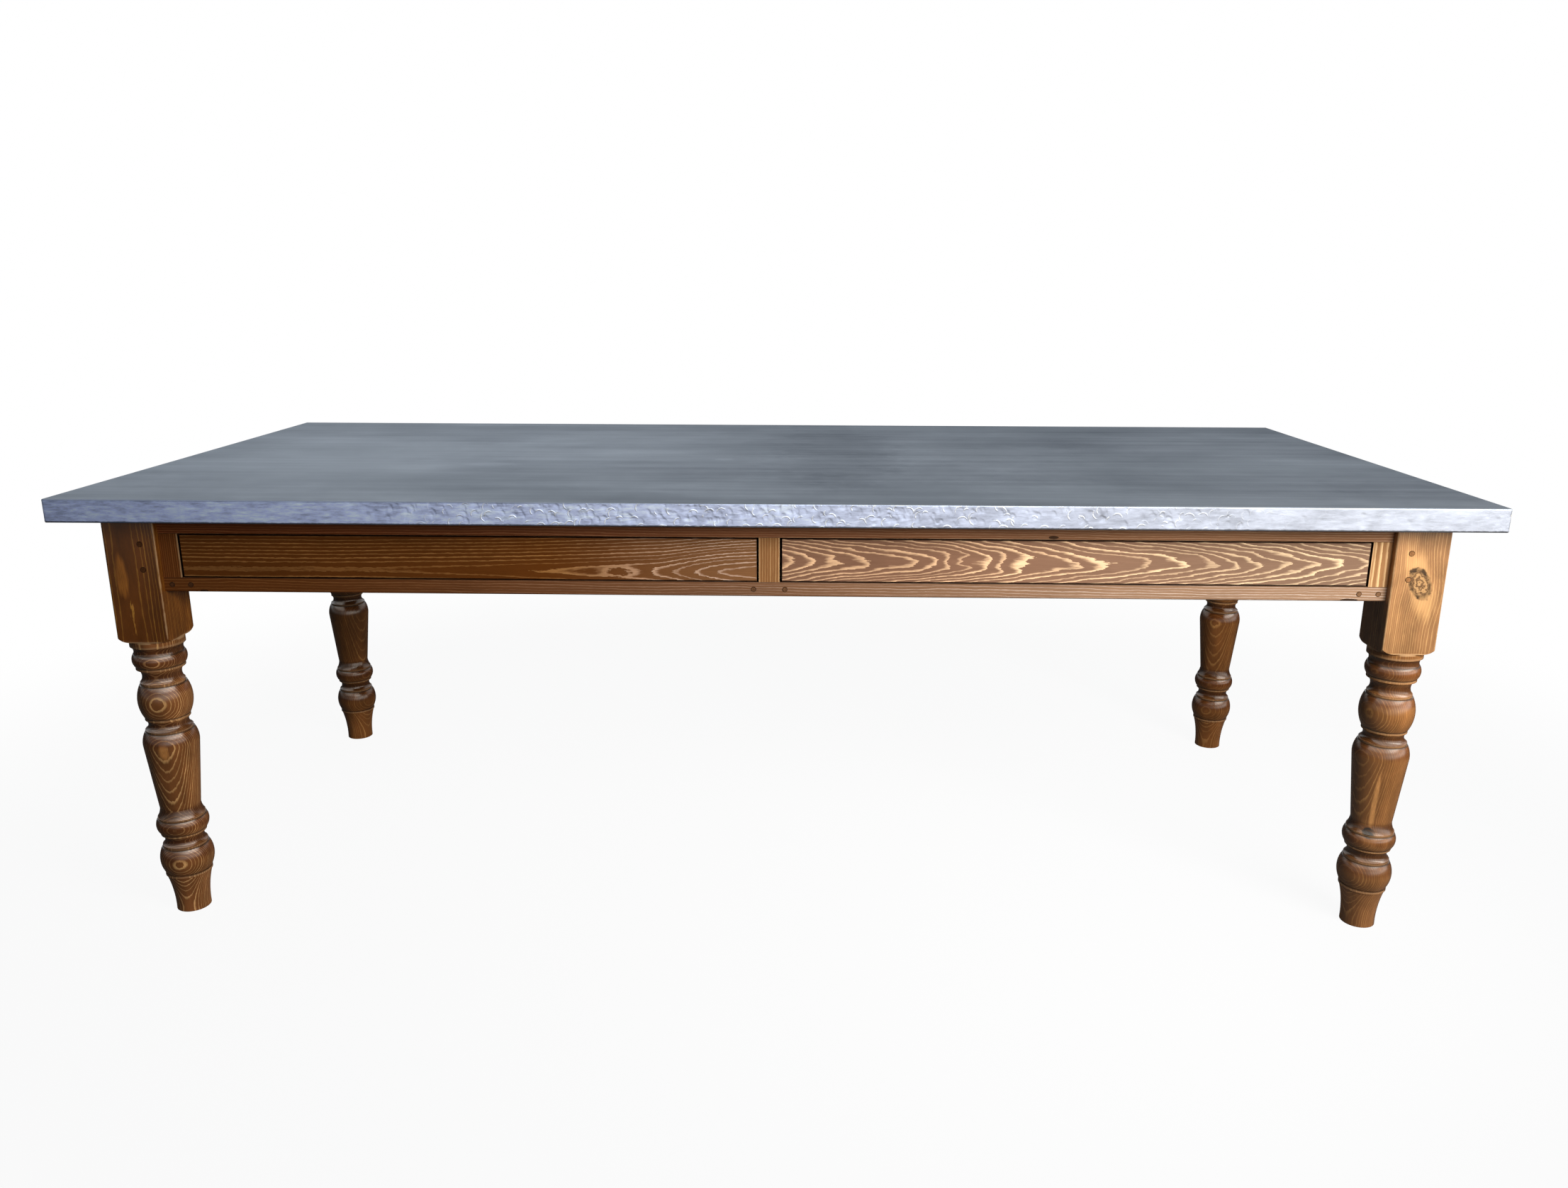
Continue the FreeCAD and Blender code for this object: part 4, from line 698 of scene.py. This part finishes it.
def end_wood(name, ground, ground_right, radius, lines, levels):
    """End grain of pegs or dowels: mottled, with a dark line round each, and paler towards the right, which is
    painted light.
    The distance to the nearest axis is the length of the smallest offsets from the given lines and levels;
    lines are (axis number, place)."""
    made, graph, shader, coords = new_material(name)
    parts = graph.parts(coords)
    pores = graph.noise(coords, 620.0, 3.0, 0.6)
    clouds = graph.noise(coords, 190.0, 2.0, 0.5)
    beside = above = 1.0
    for axis, place in lines:
        gap = graph.math("SUBTRACT", graph.math("ABSOLUTE", parts[axis]), place)
        beside = graph.math("MINIMUM", beside, graph.math("ABSOLUTE", gap))
    for level in levels:
        gap = graph.math("SUBTRACT", parts[2], level)
        above = graph.math("MINIMUM", above, graph.math("ABSOLUTE", gap))
    far = graph.length(beside, above)
    ring = graph.step(graph.math("MULTIPLY_ADD", clouds, 0.0006, far), radius - 0.0013, radius - 0.0002)
    # Painted light: paler towards the right
    tone_drift = graph.blend(graph.step(parts[0], -0.9, 0.9), ground, ground_right)
    colour = graph.blend(graph.step(pores, 0.5, -0.3), tone_drift, (0.6, 0.6, 0.6), "MULTIPLY")
    colour = graph.toned(colour, graph.math("MULTIPLY_ADD", clouds, 0.35, 1.0))
    graph.feed(shader.inputs["Base Color"], graph.blend(ring, colour, PEG_RIM))
    graph.feed(shader.inputs["Roughness"], graph.math("MULTIPLY_ADD", pores, 0.1, 0.6))
    shader.inputs["Specular IOR Level"].default_value = 0.03
    bump(graph, shader, pores, 0.0003)
    return made


def steel():
    """Dull screws and tacks: grey with darker spots of tarnish."""
    made, graph, shader, coords = new_material("fastener_steel")
    spots = graph.noise(coords, 420.0, 3.0, 0.6)
    colour = graph.blend(graph.step(spots, -0.1, 0.5), (0.42, 0.41, 0.40), (0.20, 0.17, 0.14))
    graph.feed(shader.inputs["Base Color"], colour)
    graph.feed(shader.inputs["Roughness"], graph.math("MULTIPLY_ADD", spots, 0.12, 0.42))
    shader.inputs["Metallic"].default_value = 1.0
    bump(graph, shader, spots, 0.0001)
    return made


def core_board():
    """Glued board of the top's core: pale strips side by side, each a shade of its own."""
    made, graph, shader, coords = new_material("core_board")
    _, y, _ = graph.parts(coords)
    strip = graph.random(graph.math("FLOOR", graph.product(y, 24.0)))
    fibre = graph.noise(coords, (12.0, 600.0, 600.0), 3.0, 0.6)
    cloud = graph.noise(coords, (2.0, 40.0, 40.0), 2.0, 0.5)
    value = graph.total(0.92, graph.product(strip, 0.2), graph.product(fibre, 0.14),
                        graph.product(cloud, 0.14))
    graph.feed(shader.inputs["Base Color"], graph.toned((0.52, 0.37, 0.21), value))
    graph.feed(shader.inputs["Roughness"], graph.math("MULTIPLY_ADD", fibre, 0.08, 0.65))
    shader.inputs["Specular IOR Level"].default_value = 0.2
    bump(graph, shader, fibre, 0.0002)
    return made


def corners(name):
    """Lowest and highest corner of a CAD node's box."""
    low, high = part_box(name)
    return tuple(low), tuple(high)


def finish_node(name, material):
    """Gives a CAD node its only material."""
    nodes[name].data.materials.clear()
    nodes[name].data.materials.append(material)


# The front

# Painted shade: a dark line along the edges of the drawer fronts, beside the gaps round them
DRAWER_EDGE_SHADE = (0.03, 0.015, 0.010)

# The drawer fronts and rails are painted darker and redder towards the left and bluer towards the right:
# painted light
finish_node("left_drawer_front", pine(
    "left_drawer_front_pine", "x", (-0.494, -0.430, 0.6355), 0.0056, (0.155, 0.055, 0.013), (0.50, 0.27, 0.115),
    bend=-6.9, start=-0.25, wander=0.4, jag=0.22, share=0.34, seed=3.0, phase=-0.115,
    light_fade=((-0.38, 0.0), (0.85, 0.71, 0.49), (1.48, 1.9, 3.3)),
    painted_slot_shade=True, block=corners("left_drawer_front"), edge_band_width=0.0018, edge_band=DRAWER_EDGE_SHADE,
    eyes=(((-0.235, -0.441, 0.6355), (0.019, 0.02, 0.0035), 0.95),
          ((-0.03, -0.441, 0.6355), (0.05, 0.06, 0.03), -2.0))))
finish_node("right_drawer_front", pine(
    "right_drawer_front_pine", "x", (0.494, -0.416, 0.656), 0.0046, (0.168, 0.090, 0.054), (0.66, 0.43, 0.245),
    slope=22.5, wander=2.0, jag=0.24, share=0.45, seed=11.0,
    light_fade=((0.1, 0.9), (1.23, 1.18, 1.18), (1.08, 1.2, 1.28)),
    painted_slot_shade=True, block=corners("right_drawer_front"), edge_band_width=0.0018, edge_band=DRAWER_EDGE_SHADE,
    eyes=(((0.31, -0.441, 0.657), (0.016, 0.02, 0.004), 0.8),
          ((0.41, -0.441, 0.653), (0.02, 0.02, 0.005), 0.8))))
finish_node("front_top_rail", pine(
    "front_top_rail_pine", "x", (0.0, -0.40, 0.632), 0.0036, (0.20, 0.085, 0.030), (0.42, 0.23, 0.10),
    slope=1.0, wander=1.2, jag=0.15, seed=5.0,
    light_fade=((-0.9, 0.9), (0.98, 0.62, 0.5), (1.2, 1.36, 1.9)),
    painted_slot_shade=True, block=corners("front_top_rail"), edge_band_width=0.001,
    marks=(((0.459, -0.441, 0.6975), (0.008, 0.003, 0.0028)),)))
# The bottom rail's edges are dark: painted shade
finish_node("front_bottom_rail", pine(
    "front_bottom_rail_pine", "x", (0.0, -0.46, 0.53), 0.0046, (0.21, 0.092, 0.036), (0.42, 0.24, 0.125),
    slope=1.4, wander=1.3, jag=0.15, share=0.4, seed=8.0,
    light_fade=((-0.9, 0.9), (0.73, 0.50, 0.27), (1.17, 1.58, 2.4)),
    painted_slot_shade=True, block=corners("front_bottom_rail"), edge_band_width=0.002, edge_band=(0.05, 0.024, 0.014),
    marks=(((0.943, -0.441, 0.5965), (0.014, 0.004, 0.0032)),
           ((-0.937, -0.441, 0.597), (0.007, 0.003, 0.002)))))
# Stiles: x of the tree's heart, ring width, ground, late wood, seed
STILES = (("left_stile", -0.93, 0.0032, (0.152, 0.044, 0.009), (0.31, 0.115, 0.031), 2.0),
          ("centre_stile", 0.065, 0.0042, (0.25, 0.11, 0.04), (0.46, 0.26, 0.11), 4.0),
          ("right_stile", 0.925, 0.0095, (0.235, 0.115, 0.047), (0.58, 0.38, 0.19), 9.0))
for stile, heart_x, ring_width, ground, line, seed in STILES:
    finish_node(stile, pine(f"{stile}_pine", "z", (heart_x, -0.42, 0.65), ring_width, ground, line, slope=1.0,
                            wander=0.35, jag=0.15, share=0.5, seed=seed, painted_slot_shade=True, block=corners(stile)))

# The ends and the back

APRON_GROUND = (0.21, 0.095, 0.038)

finish_node("back_apron", pine(
    "back_apron_pine", "x", (0.1, 0.415, 0.655), 0.006, APRON_GROUND, (0.46, 0.26, 0.115),
    slope=14.0, wander=1.0, jag=0.2, seed=21.0, block=corners("back_apron")))
for apron, side, seed in (("left_apron", -1, 23.0), ("right_apron", 1, 27.0)):
    finish_node(apron, pine(
        f"{apron}_pine", "y", (side * 1.062, 0.0, 0.648), 0.0058, APRON_GROUND, (0.48, 0.27, 0.12),
        slope=18.0 * side, wander=0.9, jag=0.2, seed=seed, block=corners(apron)))

# The legs: where the heart of the tree lies behind each one, the two stained tones, knots and pale patches, and
# the tone of the post, which also paints light: darker on the shaded left post, paler and bluer on the lit
# right post
BACK_LEG = dict(ring_width=0.0026, ground=(0.195, 0.070, 0.017), line=(0.39, 0.18, 0.053))
LEGS = {
    "leg_front_left": dict(
        heart=(-1.057, -0.348, 0.3), ring_width=0.0021, ground=(0.255, 0.092, 0.026), line=(0.83, 0.45, 0.17),
        seed=13.0, phase=-0.56, post_tone_and_light=(0.66, 0.53, 0.24),
        knots=(((-1.011, -0.436, 0.357), (0.007, 0.007, 0.005), 0.0, 0.8),),
        marks=(((-1.012, -0.437, 0.357), (0.009, 0.009, 0.005)),),
        patches=(((-1.065, -0.452, 0.625), (0.008, 0.012, 0.013), (0.95, 0.41, 0.13)),
                 ((-1.037, -0.457, 0.311), (0.0065, 0.03, 0.0065), (0.85, 0.36, 0.10)))),
    "leg_front_right": dict(
        heart=(1.104, -0.385, 0.3), ring_width=0.0024, ground=(0.218, 0.089, 0.028), line=(0.42, 0.20, 0.063),
        seed=17.0, post_tone_and_light=(1.18, 1.40, 1.78), level=1.0,
        knots=(((1.047, -0.453, 0.6285), (0.016, 0.012, 0.024), 0.3, 1.6),
               ((1.024, -0.448, 0.186), (0.0125, 0.012, 0.010), 0.3, 0.8)),
        marks=(((1.026, -0.448, 0.183), (0.009, 0.012, 0.005)),),
        patches=(((1.030, -0.446, 0.238), (0.003, 0.02, 0.022), (0.62, 0.29, 0.095)),)),
    "leg_back_right": dict(heart=(1.08, 0.47, 0.3), seed=19.0, **BACK_LEG),
    "leg_back_left": dict(heart=(-1.10, 0.44, 0.3), seed=29.0, **BACK_LEG),
}
# What the turned and waxed legs share
WAXED = dict(slope=2.0, wander=0.8, jag=0.14, share=0.34, cloudy=0.4, blotch=0.75, gloss=0.23, level=0.75,
             relief=0.00003)
# Half the width of a post, the foot of its pale edges, which are wear with a painted highlight, and how far
# these run on above the leg's top end
POST_HALF, POST_FOOT, POST_PAST = 0.043, 0.5085, 0.01
for leg, looks in LEGS.items():
    (low_x, low_y, _), (high_x, high_y, high_z) = corners(leg)
    cx, cy = (low_x + high_x) / 2, (low_y + high_y) / 2
    post = ((cx - POST_HALF, cy - POST_HALF, POST_FOOT), (cx + POST_HALF, cy + POST_HALF, high_z + POST_PAST))
    finish_node(leg, pine(f"{leg}_pine", "z", block=post, turned=True, **{**WAXED, **looks}))

# Pegs and dowels, and what hides inside
finish_node("leg_pegs", end_wood(
    "peg_wood", (0.15, 0.055, 0.020), (0.30, 0.14, 0.055), 0.00475, ((0, 1.0275), (1, 0.3925)), (0.635, 0.678)))
finish_node("runner_dowels", end_wood(
    "dowel_wood", (0.13, 0.052, 0.022), (0.21, 0.11, 0.055), 0.0044,
    ((0, 0.0257), (0, 0.958), (0, 0.989)), (0.60725,)))
STEEL = steel()
for name in ("lip_tacks", "button_screws", "kicker_screws", "left_drawer_screws", "right_drawer_screws"):
    finish_node(name, STEEL)
CORE = core_board()
for name in [name for name in nodes if name.startswith("core_")]:
    finish_node(name, CORE)
BARE_Y = plain_pine("bare_pine_along_y", "y", (0.0, 0.0, 0.55), seed=33.0)
BARE_X = plain_pine("bare_pine_along_x", "x", (0.0, -0.2, 0.60), seed=37.0)
ACROSS = ("drawer_stops", "top_buttons", "left_drawer_back", "right_drawer_back", "left_drawer_bottom",
          "right_drawer_bottom")
ALONG = [f"{place}_{kind}" for place in ("left", "centre", "right") for kind in ("runner", "kicker", "guide")]
ALONG += [f"{drawer}_drawer_{side}_side" for drawer in ("left", "right") for side in ("outer", "inner")]
for name in ACROSS:
    finish_node(name, BARE_X)
for name in ALONG:
    finish_node(name, BARE_Y)

zinc = new_piece("zinc_sheet", *zinc_sheet(), "frame", "zinc", "zinc_cladding")
zinc.data.materials.append(zinc_finish())


# Floor, light and camera

def pale_floor():
    """A pale floor that the camera sees almost white near the table and wholly white farther out, and that
    keeps the table's shadow. Far in front of the table it glows in mirroring surfaces, more to the right."""
    made, graph, shader, coords = new_material("pale_floor")
    shader.inputs["Roughness"].default_value = 0.9
    shader.inputs["Specular IOR Level"].default_value = 0.0
    x, y, _ = graph.parts(coords)
    share = graph.between(graph.step(graph.length(x, y), 1.4, 2.6), 0.93, 1.0)
    path = graph.node("ShaderNodeLightPath").outputs
    grey = graph.blend(path["Is Camera Ray"], (0.12, 0.12, 0.12), (0.8, 0.8, 0.8))
    graph.feed(shader.inputs["Base Color"], grey)
    seen = graph.math("MAXIMUM", path["Is Camera Ray"], path["Is Transmission Ray"])
    glow = graph.between(graph.step(x, -4.0, 0.5), 0.25, 1.0)
    glow = graph.product(glow, graph.step(y, -2.8, -4.0))
    seen = graph.math("MULTIPLY_ADD", path["Is Glossy Ray"], glow, seen)
    white = graph.node("ShaderNodeEmission")
    white.inputs["Strength"].default_value = 1.0
    mixed = graph.node("ShaderNodeMixShader")
    graph.feed(mixed.inputs[0], graph.product(seen, share))
    graph.feed(mixed.inputs[1], shader.outputs[0])
    graph.feed(mixed.inputs[2], white.outputs[0])
    surface = [node for node in made.node_tree.nodes if node.type == "OUTPUT_MATERIAL"][0]
    graph.feed(surface.inputs["Surface"], mixed.outputs[0])
    mesh = bpy.data.meshes.new("floor")
    reach = 12.0
    mesh.from_pydata([(-reach, -reach, 0), (reach, -reach, 0), (reach, reach, 0), (-reach, reach, 0)], [],
                     [(0, 1, 2, 3)])
    mesh.materials.append(made)
    floor = bpy.data.objects.new("floor", mesh)
    scene.collection.objects.link(floor)


def studio_world():
    """Plain white for what the camera sees. Mirroring surfaces see the white backdrop behind the table and, in
    front of it, a room that is dim apart from low windows, a bright band above them and a pale ceiling; windows
    and band are brighter to the right. The fill for all surfaces grows softly towards the right and above, and
    more of it comes from behind and from the back left."""
    world = bpy.data.worlds.new("studio")
    scene.world = world
    world.use_nodes = True
    world.node_tree.nodes.clear()
    graph = Graph(world.node_tree)
    path = graph.node("ShaderNodeLightPath").outputs
    way = graph.node("ShaderNodeTexCoord").outputs["Generated"]
    x, y, z = graph.parts(way)
    backdrop = graph.product(graph.step(y, -0.25, 0.3), graph.step(z, 0.0, 0.18))
    lean = graph.math("MULTIPLY_ADD", x, 0.85, graph.product(z, 0.5))
    fill = graph.between(graph.step(lean, -0.3, 1.0), 0.02, 0.4)
    fill = graph.math("MULTIPLY_ADD", graph.step(y, 0.5, 0.95), 0.9, fill)
    left = graph.product(graph.step(x, -0.5, -0.9), graph.step(y, -0.05, 0.3))
    fill = graph.math("MULTIPLY_ADD", left, 0.62, fill)
    before = graph.step(y, 0.15, -0.2)
    above = graph.product(graph.step(z, 0.4, 0.75), before)
    band = graph.product(graph.step(z, 0.29, 0.38), graph.step(z, 0.62, 0.52))
    glint = graph.between(graph.step(x, -0.3, 0.7), 2.0, 8.0)
    band = graph.product(band, before, glint)
    patches = graph.math("MAXIMUM", graph.product(above, 2.0), band)
    low = graph.product(graph.step(z, -0.1, 0.03), graph.step(z, 0.3, 0.15), before)
    windows = graph.product(low, graph.between(graph.step(x, -0.6, 0.6), 0.38, 2.55))
    room = graph.between(backdrop, 0.1, 1.0)
    mirrored = graph.math("ADD", graph.math("MAXIMUM", patches, windows), room)
    light = graph.between(path["Is Glossy Ray"], fill, mirrored)
    seen = graph.math("MAXIMUM", path["Is Camera Ray"], path["Is Transmission Ray"])
    background = graph.node("ShaderNodeBackground")
    graph.feed(background.inputs["Color"], graph.blend(seen, (0.86, 0.93, 1.0), (1.0, 1.0, 1.0)))
    graph.feed(background.inputs["Strength"], graph.between(seen, light, 1.0))
    graph.feed(graph.node("ShaderNodeOutputWorld").inputs["Surface"], background.outputs[0])


def aimed(place, target):
    """A matrix at place whose -Z axis points to target."""
    direction = np.array(target) - np.array(place)
    forward = direction / np.linalg.norm(direction)
    right = np.cross(forward, (0, 0, 1))
    right /= np.linalg.norm(right)
    up = np.cross(right, forward)
    turn = Matrix(np.column_stack([right, up, -forward]).tolist()).to_4x4()
    return Matrix.Translation(place) @ turn


def soft_lamp(name, place, target, width, height, power, colour, spread):
    """An area lamp that lights the surfaces and isn't mirrored in them; spread is in degrees."""
    lamp = bpy.data.lights.new(name, "AREA")
    lamp.shape = "RECTANGLE"
    lamp.size, lamp.size_y = width, height
    lamp.energy = power
    lamp.color = colour
    lamp.spread = math.radians(spread)
    made = bpy.data.objects.new(name, lamp)
    made.matrix_world = aimed(place, target)
    made.visible_glossy = False
    scene.collection.objects.link(made)


# Pinhole fitted to the corners of the top and the feet in the photograph: place in metres, turns in radians,
# and the focal length and width of the picture in pixels
CAMERA_PLACE = (0.062637, -2.310915, 1.101388)
YAW, PITCH, ROLL = 0.0205, 0.2621, 0.0029
FOCAL_PIXELS, PICTURE_WIDTH = 1664.70, 2212
SENSOR_WIDTH = 36.0


def photo_camera():
    """The photograph's camera: turned by roll, then tilted down by pitch, then turned by yaw."""
    data = bpy.data.cameras.new("camera")
    data.sensor_width = SENSOR_WIDTH
    data.sensor_fit = "HORIZONTAL"
    data.lens = SENSOR_WIDTH * FOCAL_PIXELS / PICTURE_WIDTH
    data.clip_start, data.clip_end = 0.05, 60.0
    made = bpy.data.objects.new("camera", data)
    turn = (Matrix.Rotation(YAW, 4, "Z") @ Matrix.Rotation(math.pi / 2 - PITCH, 4, "X")
            @ Matrix.Rotation(ROLL, 4, "Z"))
    made.matrix_world = Matrix.Translation(CAMERA_PLACE) @ turn
    scene.collection.objects.link(made)
    scene.camera = made


pale_floor()
studio_world()
soft_lamp("key", (1.4, -1.55, 1.25), (0.62, -0.45, 0.8), 1.2, 0.8, 20.5, (1.0, 0.98, 0.96), 95.0)
photo_camera()
